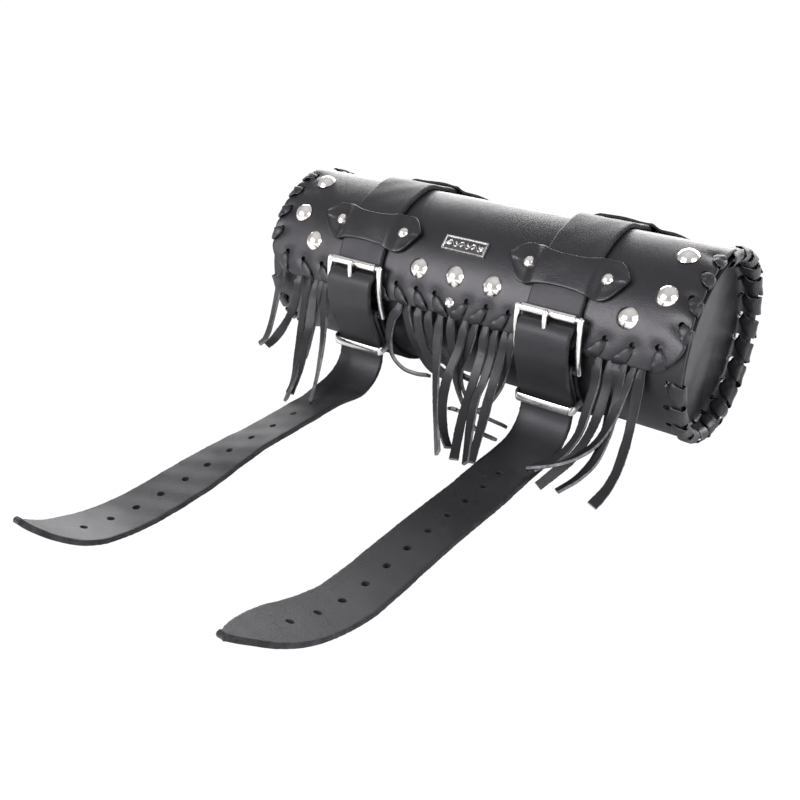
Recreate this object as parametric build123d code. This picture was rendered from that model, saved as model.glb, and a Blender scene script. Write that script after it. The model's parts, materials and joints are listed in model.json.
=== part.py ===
from build123d import *
import os
import numpy as np

# Leather roll bag with a lid flap, two belts with roller buckles, lacing and fringes.
# Millimetres, +Z up, X along the barrel, the front faces -Y, the ground is Z = 0.
# TH is the angle in degrees about the barrel axis: 0 = straight up, positive towards
# the front, 180 = straight down. "Left" is -X.
# A spot is (x, TH); a side-view point is (y, z).
SIDES = (("left", -1), ("right", 1))

# Barrel
LEATHER_T = 2.8
HALF_LEN = 165.0
AXIS_Z = 65.4
BODY_RO = 62.0
BODY_RI = BODY_RO - LEATHER_T
BODY_TH = (60.0, 358.5)         # front edge under the flap, top edge at the hinge line

# End panels: shallow cups, open outwards
CUP_DEPTH = 14.0
CUP_T = 2.6
CUP_RO = BODY_RI - 0.2
CUP_RI = CUP_RO - CUP_T

# Lid
LID_RI = BODY_RO + 1.0
LID_RO = LID_RI + LEATHER_T
LID_TH0, LID_TH1 = 1.2, 86.0
LID_CORNER = 25.0
LID_CORNER_CUT_R = LID_CORNER - 0.5
LID_SEAT = LID_RO + 0.15        # base radius of the parts set on the lid
HOLES_R = (60, 68)              # radial span of the lid hole cutters

# Lacing
HOLE_RAD = 2.0
LACE_PIN_RAD = 1.5
LACE_HALF_W = 2.5
END_LACE_HALF_W = 2.4
LACE_PAST_HOLE = 2.2
LACE_OUT = (HALF_LEN + 0.3, HALF_LEN + 1.2)     # lid lace turn past the barrel end
END_HOLE_X = 156.5
END_HOLE_TH = [92.5 + 16.2 * i for i in range(17)]
FRONT_HOLE_TH = 75.0
FRONT_HOLE_X = [13.0, 28.5, 45.5, 62.5, 79.5, 97.0, 114.5, 132.5]
CORNER_HOLE = (148.5, 72.5)
SIDE_HOLE_X = 158.5
SIDE_HOLE_TH = [58.5, 43.5, 27.5, 12.0]

# Studs, rivets and name plate
SHANK_RAD = 1.5
SHANK_LEN = 3.3
RIVET_HOLE_RAD = 1.6
STUD_RAD, STUD_H = 7.0, 4.0
STUDS = [(143.8, 17.6), (144.0, 45.2), (125.2, 61.5), (29.7, 62.6)]     # on both sides
CENTRE_STUD = (0.0, 62.2)
CENTRE_RIVET = (0.0, 78.0)
PLATE_L, PLATE_W, PLATE_T = 34, 11, 1.8
PLATE_TH = 43.5
PLATE_PIN_X = 13.2
PLATE_HOLE_RAD = 0.95

# Belts, straps and leather keepers
STRAP_X = 78.0                  # centre of each strap
STRAP_W = 38.0
STRAP_T = 3.6
BELT_RI = BODY_RO + 0.1
BELT_RO = BELT_RI + STRAP_T
STRAP_MID_R = LID_RO + 0.2 + STRAP_T / 2
KEEP_TH, BACK_KEEP_TH = 44.4, -40.0
KEEP_T = 2.4
KEEP_HALF_TH = 14
KEEP_RIVET_DX = 27.5
# Right half of the keeper outline: (x, distance towards smaller TH)
KEEP_HALF = [
    (0.0, -8.2), (9.0, -8.7), (17.0, -10.4), (24.0, -12.8), (30.0, -13.2), (34.5, -11.2),
    (38.5, -7.0), (42.0, -2.5), (39.0, 3.5), (35.2, 8.6), (31.0, 12.8), (26.0, 14.8),
    (21.0, 14.3), (14.0, 12.9), (7.0, 12.3), (0.0, 12.1)]
KEEP_OUTLINE = KEEP_HALF + [(-x, y) for x, y in KEEP_HALF[-2:0:-1]]

# Strap centre line: (radius, TH) past the lid part, then side-view points down to the tail
TAIL_TOP_Z = 17.0
STRAP_WRAP_TH = 65
STRAP_RISE = [
    (67.85, 69.0), (68.9, 73.5), (71.0, 78.0), (73.4, 83.0), (75.2, 88.0), (76.0, 93.0),
    (76.0, 98.5), (75.0, 104.0), (73.6, 109.5)]
STRAP_DROP = [(-65.4, 33.0), (-64.2, 26.0), (-64.0, TAIL_TOP_Z + 0.3)]
# Tail centre line, side-view points
TAIL_PATH = [
    (-64.0, TAIL_TOP_Z), (-64.6, 12.5), (-67.0, 7.3), (-72.0, 3.6), (-80.0, 1.8), (-92, 1.8),
    (-120, 1.8), (-150, 1.8), (-180, 1.8), (-210, 1.8), (-236, 1.8), (-256, 1.9), (-275, 3.2),
    (-295, 7.0), (-314, 12.0), (-330, 18.0), (-345, 26.5), (-356, 33.5)]
# Tail plan trim, +X half: (distance from the strap centre, y)
TAIL_TRIM = [(STRAP_W / 2 + 1, -40), (STRAP_W / 2 + 1, -308), (17, -327), (12, -343), (5, -354.5)]
TAIL_HOLE_RAD = 2.4
TAIL_HOLE_Y = [-122.0 - 19.3 * i for i in range(11)]

# Buckles
HEEL_TH, HEEL_R = 98.0, 67.4
HEEL_BAR = 2.2                  # bar radius
FOLD_BORE = HEEL_BAR + 0.07     # belt fold, clear of the bar
FOLD_T = 2.5
FOLD_RI, FOLD_RO = 67.3, 69.9
FOLD_END_TH = 130.0
FOLD_RIVET_TH = 110.8
EYE_GAP_HALF, EYE_GAP_RAD = 3.5, 6.3
ROLLER_TH, ROLLER_R = 68.6, 73.2
AXLE = 1.7                      # front bar radius inside the roller
ROLLER_RI, ROLLER_RO = AXLE + 0.05, 3.05
ROLLER_HALF = 18.9
FRAME_HALF = 22.2               # side bar centre line, from the strap centre
FRAME_BOW = 2.2
FRAME_RAIL = 2.2
FRAME_JOINT = 2.25
TONGUE_RAD = 1.75
TONGUE_EYE_HALF = 2.6
# Tongue centre line: (y, z) from the heel bar, then from the roller
TONGUE_LOW = [(-4.0, 1.5), (-4.3, 6.0), (-4.4, 12), (-5.2, 19)]
TONGUE_HIGH = [(-5.6, -7), (-5.3, -1), (-4.75, 2.3)]

# Metal keepers
LOOP_TH = 120.0                 # inner bar
LOOP_R = 66.0
LOOP_T = 0.9                    # inner bar thickness
LOOP_WALL = 1.2                 # front bar and end walls
LOOP_H = 6.2
LOOP_HALF = 22.0
LOOP_FRONT = (-69.4, 25.8)      # inner lower corner of the upright front bar

# Fringes
FRINGE_T = 2.2
FRINGE_HALF_W = 2.4
FRINGE_REACH = [0, 9, 4, 14, 6, 11]     # twice the extra forward reach of each end, repeating
FRINGE_PATH = [                         # (y, z above the barrel axis)
    (-68.4, 14), (-69.3, 4), (-74.0, -12), (-82.5, -28), (-94.5, -43.5), (-107.0, -55.5)]
FRINGE_END = (-114.0, 4.6)
FRINGE_X = {
    "left": [-160, -151, -142, -130, -120, -110],
    "centre": [-44 + 8 * i for i in range(12)],
    "right": [110, 120, 130, 142, 151, 160]}


# Helpers
def yz(radius, th):
    """Side-view point at a radius and angle about the barrel axis."""
    angle = np.radians(th)
    return (float(-radius * np.sin(angle)), float(AXIS_Z + radius * np.cos(angle)))


AXIS = (0, AXIS_Z)
HEEL = yz(HEEL_R, HEEL_TH)
ROLLER = yz(ROLLER_R, ROLLER_TH)


def at(x, point):
    return Vector(x, float(point[0]), float(point[1]))


def span(sign, near, far, centre=0):
    """X range between two distances from centre, on the given side."""
    return sorted((centre + sign * near, centre + sign * far))


def mirrored(spots):
    return [(sign * x, th) for x, th in spots for sign in (-1, 1)]


def band(r_in, r_out, th0, th1, x0, x1):
    """Curved band about the barrel axis; a long one gets its arcs in two halves."""
    stops = [th0, th0 + (th1 - th0) / 2, th1] if th1 - th0 > 200 else [th0, th1]

    def arc(radius, start, end):
        points = [at(x0, yz(radius, th)) for th in (start, (start + end) / 2, end)]
        return Edge.make_three_point_arc(*points)

    pairs = list(zip(stops[:-1], stops[1:]))
    edges = [arc(r_out, a, b) for a, b in pairs]
    edges.append(Edge.make_line(at(x0, yz(r_out, th1)), at(x0, yz(r_in, th1))))
    edges += [arc(r_in, b, a) for a, b in reversed(pairs)]
    edges.append(Edge.make_line(at(x0, yz(r_in, th0)), at(x0, yz(r_out, th0))))
    return Solid.extrude(Face(Wire(edges)), Vector(x1 - x0, 0, 0))


def bar(centre, x0, x1, radius):
    """Round bar along X."""
    length = x1 - x0
    place = Pos(x0, *centre) * Rot(0, 90, 0) * Pos(0, 0, length / 2)
    return place * Cylinder(radius, length)


def tube(centre, x0, x1, r_in, r_out):
    return bar(centre, x0, x1, r_out) - bar(centre, x0 - 1, x1 + 1, r_in)


def radial(x, th, radius, shape):
    """Puts a shape drawn on +Z at a radius in direction th."""
    return Pos(x, 0, AXIS_Z) * Rot(th, 0, 0) * Pos(0, 0, radius) * shape


def pin(x, th, r_in, r_out, radius):
    height = r_out - r_in
    return radial(x, th, r_in, Pos(0, 0, height / 2) * Cylinder(radius, height))


def ribbon(points, thick, x0, x1):
    """Smooth strip of even thickness along a side-view path."""
    path = np.array(points, float)
    along = np.gradient(path, axis=0)
    along /= np.linalg.norm(along, axis=1)[:, None]
    normal = np.stack([-along[:, 1], along[:, 0]], 1)
    upper = path + normal * thick / 2
    lower = path - normal * thick / 2
    edges = [Edge.make_spline([at(x0, p) for p in upper]),
             Edge.make_line(at(x0, upper[-1]), at(x0, lower[-1])),
             Edge.make_spline([at(x0, p) for p in lower[::-1]]),
             Edge.make_line(at(x0, lower[0]), at(x0, upper[0]))]
    return Solid.extrude(Face(Wire(edges)), Vector(x1 - x0, 0, 0))


def rod(points, x, radius):
    """Round rod along a smooth side-view path."""
    line = Edge.make_spline([at(x, p) for p in points])
    start = Plane(origin=at(x, points[0]), z_dir=line % 0)
    return Solid.sweep(Face(Wire.make_circle(radius, start)), Wire([line]))


def slab(points, x0, x1):
    """Side-view polygon extruded along X."""
    wire = Wire.make_polygon([at(x0, p) for p in points], close=True)
    return Solid.extrude(Face(wire), Vector(x1 - x0, 0, 0))


def prism(outline, z, height):
    """Plan polygon extruded upwards from z."""
    wire = Wire.make_polygon([Vector(x, y, z) for x, y in outline], close=True)
    return Solid.extrude(Face(wire), Vector(0, 0, height))


def cap(radius, height, shank_rad=SHANK_RAD, shank_len=SHANK_LEN):
    """Domed head with a shank below the base plane."""
    ball_r = (radius * radius + height * height) / (2 * height)
    ball = Pos(0, 0, height - ball_r) * Sphere(ball_r)
    head = ball & (Pos(0, 0, height / 2) * Cylinder(radius + 1, height))
    return head + Pos(0, 0, -shank_len / 2 + 0.1) * Cylinder(shank_rad, shank_len + 0.2)


def group(shapes):
    return Compound(children=[solid for shape in shapes for solid in shape.solids()])


def place_all(spots, radius, shape):
    return group([radial(x, th, radius, shape) for x, th in spots])


def save(name, shape):
    solids = shape.solids()
    out = solids[0] if len(solids) == 1 else Compound(children=list(solids))
    out.label = name
    export_step(out, "parts/" + name + ".step")


def keeper_rivet_spots(th):
    return [(side * STRAP_X + d * KEEP_RIVET_DX, th) for side in (-1, 1) for d in (-1, 1)]


FRONT_HOLES = mirrored([(x, FRONT_HOLE_TH) for x in FRONT_HOLE_X] + [CORNER_HOLE])
SIDE_HOLES = mirrored([(SIDE_HOLE_X, th) for th in SIDE_HOLE_TH])
STUD_SPOTS = mirrored(STUDS) + [CENTRE_STUD]
PLATE_PINS = mirrored([(PLATE_PIN_X, PLATE_TH)])
FRONT_RIVETS = keeper_rivet_spots(KEEP_TH)
BACK_RIVETS = keeper_rivet_spots(BACK_KEEP_TH)


# Barrel and ends
def end_holes(sign):
    return [pin(sign * END_HOLE_X, th, 50, 66, HOLE_RAD) for th in END_HOLE_TH]


def body_panel():
    rivet_holes = [pin(x, th, 56, 66, RIVET_HOLE_RAD) for x, th in BACK_RIVETS]
    body = band(BODY_RI, BODY_RO, *BODY_TH, -HALF_LEN, HALF_LEN)
    return body - (end_holes(-1) + end_holes(1) + rivet_holes)


def end_panel(sign):
    floor_x = HALF_LEN - CUP_DEPTH
    cup = tube(AXIS, *span(sign, floor_x, HALF_LEN), CUP_RI, CUP_RO)
    cup += bar(AXIS, *span(sign, floor_x, floor_x + CUP_T), CUP_RO)
    return cup - end_holes(sign)


def end_lacing(sign):
    """Loops from each hole round the rim of the barrel end."""
    r_in, r_out = 55.2, 63.0
    half = np.degrees(END_LACE_HALF_W / BODY_RO)
    outer_x = HALF_LEN + 1.2
    reach = span(sign, END_HOLE_X - LACE_PAST_HOLE, outer_x)
    loops = []
    for th in END_HOLE_TH:
        lace = band(BODY_RO + 0.1, r_out, th - half, th + half, *reach)
        lace += band(r_in, r_in + 1.0, th - half, th + half, *reach)
        lace += band(r_in, r_out, th - half, th + half, *span(sign, outer_x - 1.0, outer_x))
        lace += pin(sign * END_HOLE_X, th, 55.5, 62.6, LACE_PIN_RAD)
        loops.append(lace)
    return group(loops)


# Lid
def lid_flap():
    lid = band(LID_RI, LID_RO, LID_TH0, LID_TH1, -HALF_LEN, HALF_LEN)
    corner_z = yz(LID_RO, LID_TH1)[1] + LID_CORNER - 1.7
    for sign in (-1, 1):    # round the lower corners
        corner_x = sign * (HALF_LEN - LID_CORNER + 1.5)
        block = Pos(corner_x + sign * 20, -50, corner_z - 20) * Box(40, 80, 40)
        block -= Pos(corner_x, -50, corner_z) * Rot(90, 0, 0) * Cylinder(LID_CORNER_CUT_R, 100)
        lid -= block
    cutters = []
    for spots, radius in ((FRONT_HOLES + SIDE_HOLES, HOLE_RAD),
                          (STUD_SPOTS + FRONT_RIVETS + [CENTRE_RIVET], RIVET_HOLE_RAD),
                          (PLATE_PINS, PLATE_HOLE_RAD)):
        cutters += [pin(x, th, *HOLES_R, radius) for x, th in spots]
    return lid - cutters


def lid_lacing():
    """Loops round the front edge, then round the two ends of the lid."""
    r_in, r_out = BODY_RO + 0.1, LID_RO + 0.1
    under = (r_in, LID_RI - 0.1)
    laces = []
    for x, th in FRONT_HOLES:
        edge = LID_TH1 if abs(x) < 140 else LID_TH1 + 0.3
        top = r_out + 0.7
        width = (x - LACE_HALF_W, x + LACE_HALF_W)
        lace = band(r_out, top, th - 2.0, edge + 1.6, *width)
        lace += band(*under, th - 2.0, edge + 1.6, *width)
        lace += band(r_in, top, edge + 0.7, edge + 1.6, *width)
        laces.append(lace + pin(x, th, 62.4, 66.4, LACE_PIN_RAD))
    half = np.degrees(LACE_HALF_W / 65)
    for x, th in SIDE_HOLES:
        sign = 1 if x > 0 else -1
        top = r_out + 0.9
        reach = span(sign, SIDE_HOLE_X - LACE_PAST_HOLE, LACE_OUT[1])
        lace = band(r_out, top, th - half, th + half, *reach)
        lace += band(*under, th - half, th + half, *reach)
        lace += band(r_in, top, th - half, th + half, *span(sign, *LACE_OUT))
        laces.append(lace + pin(x, th, 62.4, 66.4, LACE_PIN_RAD))
    return group(laces)


def name_plate():
    """Plate with a sunk field, a small raised bar in it and two pin holes."""
    plate = Box(PLATE_L, PLATE_W, PLATE_T) - Pos(0, 0, 0.6) * Box(30.5, 7.8, 0.9)
    for sign in (-1, 1):
        plate -= Pos(sign * PLATE_PIN_X, 0, 0) * Cylinder(PLATE_HOLE_RAD, 4)
    plate += Pos(0, 0, 0.05) * Box(9, 3.0, 1.0)
    return radial(0, PLATE_TH, LID_SEAT + PLATE_T / 2, plate)


def leather_keeper(centre, th, r_low, r_high):
    """Raised bridge over the strap, with a riveted wing on each side."""
    angles = (th - KEEP_HALF_TH, th + KEEP_HALF_TH)
    keeper = band(r_high, r_high + KEEP_T, *angles, centre - 20.2, centre + 20.2)
    for sign in (-1, 1):
        keeper += band(r_low, r_high + KEEP_T, *angles, *span(sign, 19.4, 22.0, centre))
        keeper += band(r_low, r_low + KEEP_T, *angles, *span(sign, 21.0, 43.0, centre))
    keeper = keeper & radial(centre, th, 55, prism(KEEP_OUTLINE, 0, 23))
    for sign in (-1, 1):
        keeper -= pin(centre + sign * KEEP_RIVET_DX, th, 55, 78, RIVET_HOLE_RAD)
    return keeper


# Belts, straps and buckles; centre is the x of the strap
def belt(centre):
    """Belt round the barrel, its front end folded over the heel bar."""
    x0, x1 = centre - STRAP_W / 2, centre + STRAP_W / 2
    shape = band(BELT_RI, BELT_RO, HEEL_TH - 1.0, BODY_TH[1], x0, x1)
    shape += bar(HEEL, x0, x1, FOLD_BORE + FOLD_T)
    shape += band(BELT_RI, FOLD_RO, HEEL_TH + 2.0, HEEL_TH + 7.5, x0, x1)
    shape += band(FOLD_RI, FOLD_RO, HEEL_TH + 2.0, FOLD_END_TH, x0, x1)
    shape -= bar(HEEL, x0 - 1, x1 + 1, FOLD_BORE)
    shape -= band(50, BELT_RI - 0.001, 90, 110, x0 - 1, x1 + 1)
    # gap for the tongue eye
    shape -= bar(HEEL, centre - EYE_GAP_HALF, centre + EYE_GAP_HALF, EYE_GAP_RAD)
    # flat underside on the ground
    shape -= Pos(centre, 0, -5) * Box(60, 60, 10)
    return shape - pin(centre, FOLD_RIVET_TH, 60, 72, RIVET_HOLE_RAD)


def strap_front(centre):
    """Strap over the lid, under the roller, over the heel bar and down to the tail."""
    path = [yz(STRAP_MID_R, th) for th in np.linspace(LID_TH0, STRAP_WRAP_TH, 14)]
    path += [yz(radius, th) for radius, th in STRAP_RISE] + STRAP_DROP
    strap = ribbon(path, STRAP_T, centre - STRAP_W / 2, centre + STRAP_W / 2)
    # slot for the tongue
    return strap - Pos(centre, ROLLER[0] - 3, AXIS_Z + 13.6) * Box(5.2, 26, 22.0)


def strap_tail(centre):
    """Strap end lying on the ground, with a tapered tip and a row of holes."""
    tail = ribbon(TAIL_PATH, STRAP_T, centre - STRAP_W / 2, centre + STRAP_W / 2)
    trim = [(centre + x, y) for x, y in TAIL_TRIM]
    trim += [(centre - x, y) for x, y in reversed(TAIL_TRIM)]
    tail = tail & prism(trim, -20, 80)
    tail = tail - Pos(0, 0, -10.0) * Box(800, 800, 20)
    return tail - [Pos(centre, y, 5) * Cylinder(TAIL_HOLE_RAD, 80) for y in TAIL_HOLE_Y]


def buckle_frame(centre):
    """Heel bar, front bar and two bowed side bars."""
    ends = (centre - FRAME_HALF, centre + FRAME_HALF)
    frame = bar(HEEL, *ends, HEEL_BAR) + bar(ROLLER, *ends, AXLE)
    middle = ((HEEL[0] + ROLLER[0]) / 2 - FRAME_BOW, (HEEL[1] + ROLLER[1]) / 2)
    for x in ends:
        frame += rod([HEEL, middle, ROLLER], x, FRAME_RAIL)
        frame += Pos(x, *HEEL) * Sphere(FRAME_JOINT)
        frame += Pos(x, *ROLLER) * Sphere(FRAME_JOINT)
    return frame


def tongue(centre):
    """Eye on the heel bar, shank through the strap, tip on the roller."""
    path = [(HEEL[0] + y, HEEL[1] + z) for y, z in TONGUE_LOW]
    path += [(ROLLER[0] + y, ROLLER[1] + z) for y, z in TONGUE_HIGH]
    shape = rod(path, centre, TONGUE_RAD)
    shape += Pos(centre, *path[-1]) * Sphere(TONGUE_RAD)
    shape += bar(HEEL, centre - TONGUE_EYE_HALF, centre + TONGUE_EYE_HALF, HEEL_BAR + 2.2)
    return shape - bar(HEEL, centre - 5, centre + 5, HEEL_BAR + 0.05)


def metal_keeper(centre):
    """Flat metal loop round the fold and the strap."""
    half = np.degrees(LOOP_H / 2 / LOOP_R)
    bore_r, bore_half = LOOP_R + LOOP_T, half + 0.6
    y, z = LOOP_FRONT
    ring = [yz(LOOP_R, LOOP_TH + half), yz(LOOP_R, LOOP_TH - half),
            (y - LOOP_WALL, z + LOOP_H), (y - LOOP_WALL, z)]
    bore = [yz(bore_r, LOOP_TH + bore_half), yz(bore_r, LOOP_TH - bore_half),
            (y, z + LOOP_H + 6), (y, z - 6)]
    bore_x = LOOP_HALF - LOOP_WALL
    loop = slab(ring, centre - LOOP_HALF, centre + LOOP_HALF)
    return loop - slab(bore, centre - bore_x, centre + bore_x)


def fringe(places):
    strips = []
    for i, x in enumerate(places):
        path = [(y, AXIS_Z + z) for y, z in FRINGE_PATH]
        path.append((FRINGE_END[0] - FRINGE_REACH[i % 6] / 2, FRINGE_END[1]))
        strips.append(ribbon(path, FRINGE_T, x - FRINGE_HALF_W, x + FRINGE_HALF_W))
    return group(strips)


# Build and save
os.makedirs("parts", exist_ok=True)
save("body_panel", body_panel())
save("lid_flap", lid_flap())
save("lid_lacing", lid_lacing())
save("name_plate", name_plate())
save("dome_studs", place_all(STUD_SPOTS, LID_SEAT, cap(STUD_RAD, STUD_H)))
washer = Pos(0, 0, 0.3) * (Cylinder(4.3, 0.6) - Cylinder(1.55, 2))
save("stud_washers", place_all(STUD_SPOTS, BODY_RO + 0.15, washer))
save("centre_rivet", radial(*CENTRE_RIVET, LID_SEAT, cap(3.8, 2.1)))
plate_pin = cap(1.5, 0.5, shank_rad=0.85, shank_len=4.2)
save("plate_pins", place_all(PLATE_PINS, LID_SEAT + 1.1, plate_pin))
save("front_keeper_rivets",
     place_all(FRONT_RIVETS, LID_SEAT + KEEP_T + 0.15, cap(3.9, 2.2, shank_len=5.9)))
save("back_keeper_rivets",
     place_all(BACK_RIVETS, BELT_RI + KEEP_T + 0.15, cap(3.9, 2.2, shank_len=6.2)))
save("chape_rivets", place_all(mirrored([(STRAP_X, FOLD_RIVET_TH)]), FOLD_RO + 0.05,
                               cap(3.2, 1.0, shank_len=7.0)))

for side, sign in SIDES:
    centre = sign * STRAP_X
    save("end_panel_" + side, end_panel(sign))
    save("end_lacing_" + side, end_lacing(sign))
    save("front_keeper_" + side, leather_keeper(centre, KEEP_TH, LID_SEAT, 69.8))
    save("back_keeper_" + side, leather_keeper(centre, BACK_KEEP_TH, BELT_RI, 65.85))
    save("belt_" + side, belt(centre))
    save("strap_" + side + "_front", strap_front(centre))
    save("strap_" + side + "_tail", strap_tail(centre))
    save("buckle_frame_" + side, buckle_frame(centre))
    save("roller_" + side,
         tube(ROLLER, centre - ROLLER_HALF, centre + ROLLER_HALF, ROLLER_RI, ROLLER_RO))
    save("tongue_" + side, tongue(centre))
    save("metal_keeper_" + side, metal_keeper(centre))

for name, places in FRINGE_X.items():
    save("fringe_" + name, fringe(places))
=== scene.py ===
# A leather barrel bag lying along X on the floor (z = 0), with its front toward -Y.
# The hide wraps the barrel and ends as a laced lid flap over the top and front. Two
# buckled straps pass over it, and their long tails run out on the floor toward -Y.
# Round the barrel, places are angles in degrees: 0 at the top, 90 at the front.
# Lengths are in mm until a mesh is made. Material lengths and lights are in metres.
import json
import math

import bmesh
import bpy
import numpy as np
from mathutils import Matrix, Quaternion, Vector


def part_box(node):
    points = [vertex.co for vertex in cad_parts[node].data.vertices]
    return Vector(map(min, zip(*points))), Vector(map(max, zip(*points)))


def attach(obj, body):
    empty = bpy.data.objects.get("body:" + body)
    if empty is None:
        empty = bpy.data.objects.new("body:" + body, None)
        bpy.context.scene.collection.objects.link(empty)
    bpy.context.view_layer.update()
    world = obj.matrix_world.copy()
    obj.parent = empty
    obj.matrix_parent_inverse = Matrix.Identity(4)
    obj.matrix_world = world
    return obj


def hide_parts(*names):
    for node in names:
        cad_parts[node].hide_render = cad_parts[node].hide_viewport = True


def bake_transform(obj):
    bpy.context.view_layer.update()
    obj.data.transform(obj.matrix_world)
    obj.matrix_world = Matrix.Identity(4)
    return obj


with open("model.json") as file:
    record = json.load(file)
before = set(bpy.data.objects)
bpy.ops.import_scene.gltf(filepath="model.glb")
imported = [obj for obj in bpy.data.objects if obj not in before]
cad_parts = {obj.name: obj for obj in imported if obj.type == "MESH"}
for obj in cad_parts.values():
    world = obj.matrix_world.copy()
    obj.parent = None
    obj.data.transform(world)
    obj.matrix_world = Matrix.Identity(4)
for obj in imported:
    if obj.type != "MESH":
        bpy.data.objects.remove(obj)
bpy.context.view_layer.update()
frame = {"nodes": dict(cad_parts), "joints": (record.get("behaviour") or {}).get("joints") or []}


# ------------------------------------------------------------------ measures
MM = 0.001


def box(name):
    low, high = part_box(name)
    return np.array(low) * 1000, np.array(high) * 1000


def joint_yz(name):
    """Y and Z of a joint of the frame."""
    joint = {j["name"]: j for j in frame["joints"]}[name]
    return np.array(joint["pos_m"][1:]) * 1000


body_low, body_high = box("body_panel")
HALF_LEN = body_high[0]
BODY_R = (body_high[1] - body_low[1]) / 2     # outside of the body leather
AXIS_Z = body_low[2] + BODY_R
HIDE_T = 2.8
HALF_HIDE = HIDE_T / 2
FLAP_R = box("lid_flap")[1][2] - AXIS_Z       # outside of the flap
FLAP_MID_R = (FLAP_R + (FLAP_R - HIDE_T)) / 2
FLAP_END_DEG = 86.0

SIDES = (("left", -1), ("right", 1))
STRAP_W = 38.0
STRAP_T = 3.6
STRAP_GAP = 0.22                              # between hide and strap
STRAP_X = {side: float(np.mean([corner[0] for corner in box("strap_%s_tail" % side)]))
           for side, _ in SIDES}
# y, z of the left side's joints, which serve both sides
HEEL = joint_yz("buckle_left_swing")
ROLLER = joint_yz("roller_left_spin")

CAMERA_AT = np.array([354.5, -576.1, 341.4])


# ------------------------------------------------------------------- helpers
def barrel_deg(y, z):
    return math.degrees(math.atan2(-y, z - AXIS_Z))


def barrel_yz(radius, deg):
    turn = np.radians(deg)
    return np.array([-radius * np.sin(turn), AXIS_Z + radius * np.cos(turn)])


def on_barrel(x, radius, deg):
    x, radius, turn = np.broadcast_arrays(np.asarray(x, float), np.asarray(radius, float),
                                          np.radians(deg))
    return np.stack([x, -radius * np.sin(turn), AXIS_Z + radius * np.cos(turn)], -1)


def outward(deg):
    """Unit direction away from the barrel's axis."""
    return unit(on_barrel(0, 10, deg) - on_barrel(0, 0, deg))


def unit(v):
    return v / np.maximum(np.linalg.norm(v, axis=-1, keepdims=True), 1e-9)


def ease(start, end, value):
    """Smooth 0 to 1 between start and end, which may run downward."""
    t = np.clip((np.asarray(value, float) - start) / (end - start), 0, 1)
    return t * t * (3 - 2 * t)


def waves(seed, count, low, high):
    """Smooth field of a few sines, about -1..1, with frequencies from low to high."""
    rng = np.random.default_rng(seed)
    freq = rng.uniform(low, high, count)
    heading = rng.uniform(0, 2 * np.pi, count)
    phase = rng.uniform(0, 2 * np.pi, count)
    weight = 1 / np.sqrt(freq)
    weight /= np.sqrt((weight ** 2).sum() / 2)

    def field(u, v):
        u, v = np.asarray(u, float), np.asarray(v, float)
        total = 0
        for i in range(count):
            along = u * np.cos(heading[i]) + v * np.sin(heading[i])
            total = total + weight[i] * np.sin(2 * np.pi * freq[i] * along + phase[i])
        return total / 1.6
    return field


def arc_length(points):
    return np.r_[0, np.cumsum(np.linalg.norm(np.diff(points, axis=0), axis=1))]


def spline(points, count):
    """Catmull-Rom through the rows; count rows out, even along the first three columns."""
    points = np.asarray(points, float)
    ctrl = np.vstack([2 * points[0] - points[1], points, 2 * points[-1] - points[-2]])
    per_span = max(6, int(6 * count / len(points)))
    t = np.linspace(0, 1, per_span, endpoint=False)[:, None]
    dense = []
    for i in range(1, len(ctrl) - 2):
        before, start, end, after = ctrl[i - 1:i + 3]
        dense.append(0.5 * (2 * start + (end - before) * t
                            + (2 * before - 5 * start + 4 * end - after) * t ** 2
                            + (3 * start - before - 3 * end + after) * t ** 3))
    dense.append(ctrl[-2][None])
    dense = np.vstack(dense)
    length = arc_length(dense[:, :3])
    even = np.linspace(0, length[-1], count)
    return np.stack([np.interp(even, length, column) for column in dense.T], 1)


def strip_columns(half, insets=(0.0, 0.22, 0.6, 1.2, 2.2), step=1.6):
    """Positions across a strip, denser at both edges."""
    inner = half - insets[-1]
    count = max(2, int(round(2 * inner / step)))
    middle = np.linspace(-inner, inner, count + 1)
    left = -half + np.array(insets[:-1])
    return np.r_[left, middle, -left[::-1]]


def edge_share(distance, radius=1.1):
    """Share of full thickness at a distance from a rounded edge."""
    t = np.clip(distance / radius, 0, 1)
    return 0.34 + 0.66 * np.sqrt(1 - (1 - t) ** 2)


def smooth_shade(obj, sharp):
    mesh = obj.data
    mesh.polygons.foreach_set("use_smooth", np.ones(len(mesh.polygons), bool))
    mesh.set_sharp_from_angle(angle=math.radians(sharp))
    mesh.update()


def face_outward(obj):
    bm = bmesh.new()
    bm.from_mesh(obj.data)
    bmesh.ops.recalc_face_normals(bm, faces=bm.faces)
    bm.to_mesh(obj.data)
    bm.free()
    obj.data.update()


def new_object(name, mesh):
    obj = bpy.data.objects.new(name, mesh)
    bpy.context.scene.collection.objects.link(obj)
    return obj


def make(name, verts, faces, mats, face_slots=None, sharp=40):
    mesh = bpy.data.meshes.new(name)
    mesh.from_pydata((np.asarray(verts, float) * MM).tolist(), [], faces)
    mesh.validate()
    mesh.update()
    obj = new_object(name, mesh)
    for mat in mats:
        mesh.materials.append(mat)
    # validate() may drop faces, and then the slots no longer line up
    if face_slots is not None and len(face_slots) == len(mesh.polygons):
        mesh.polygons.foreach_set("material_index", np.asarray(face_slots, np.int32))
    smooth_shade(obj, sharp)
    face_outward(obj)
    return obj


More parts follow.
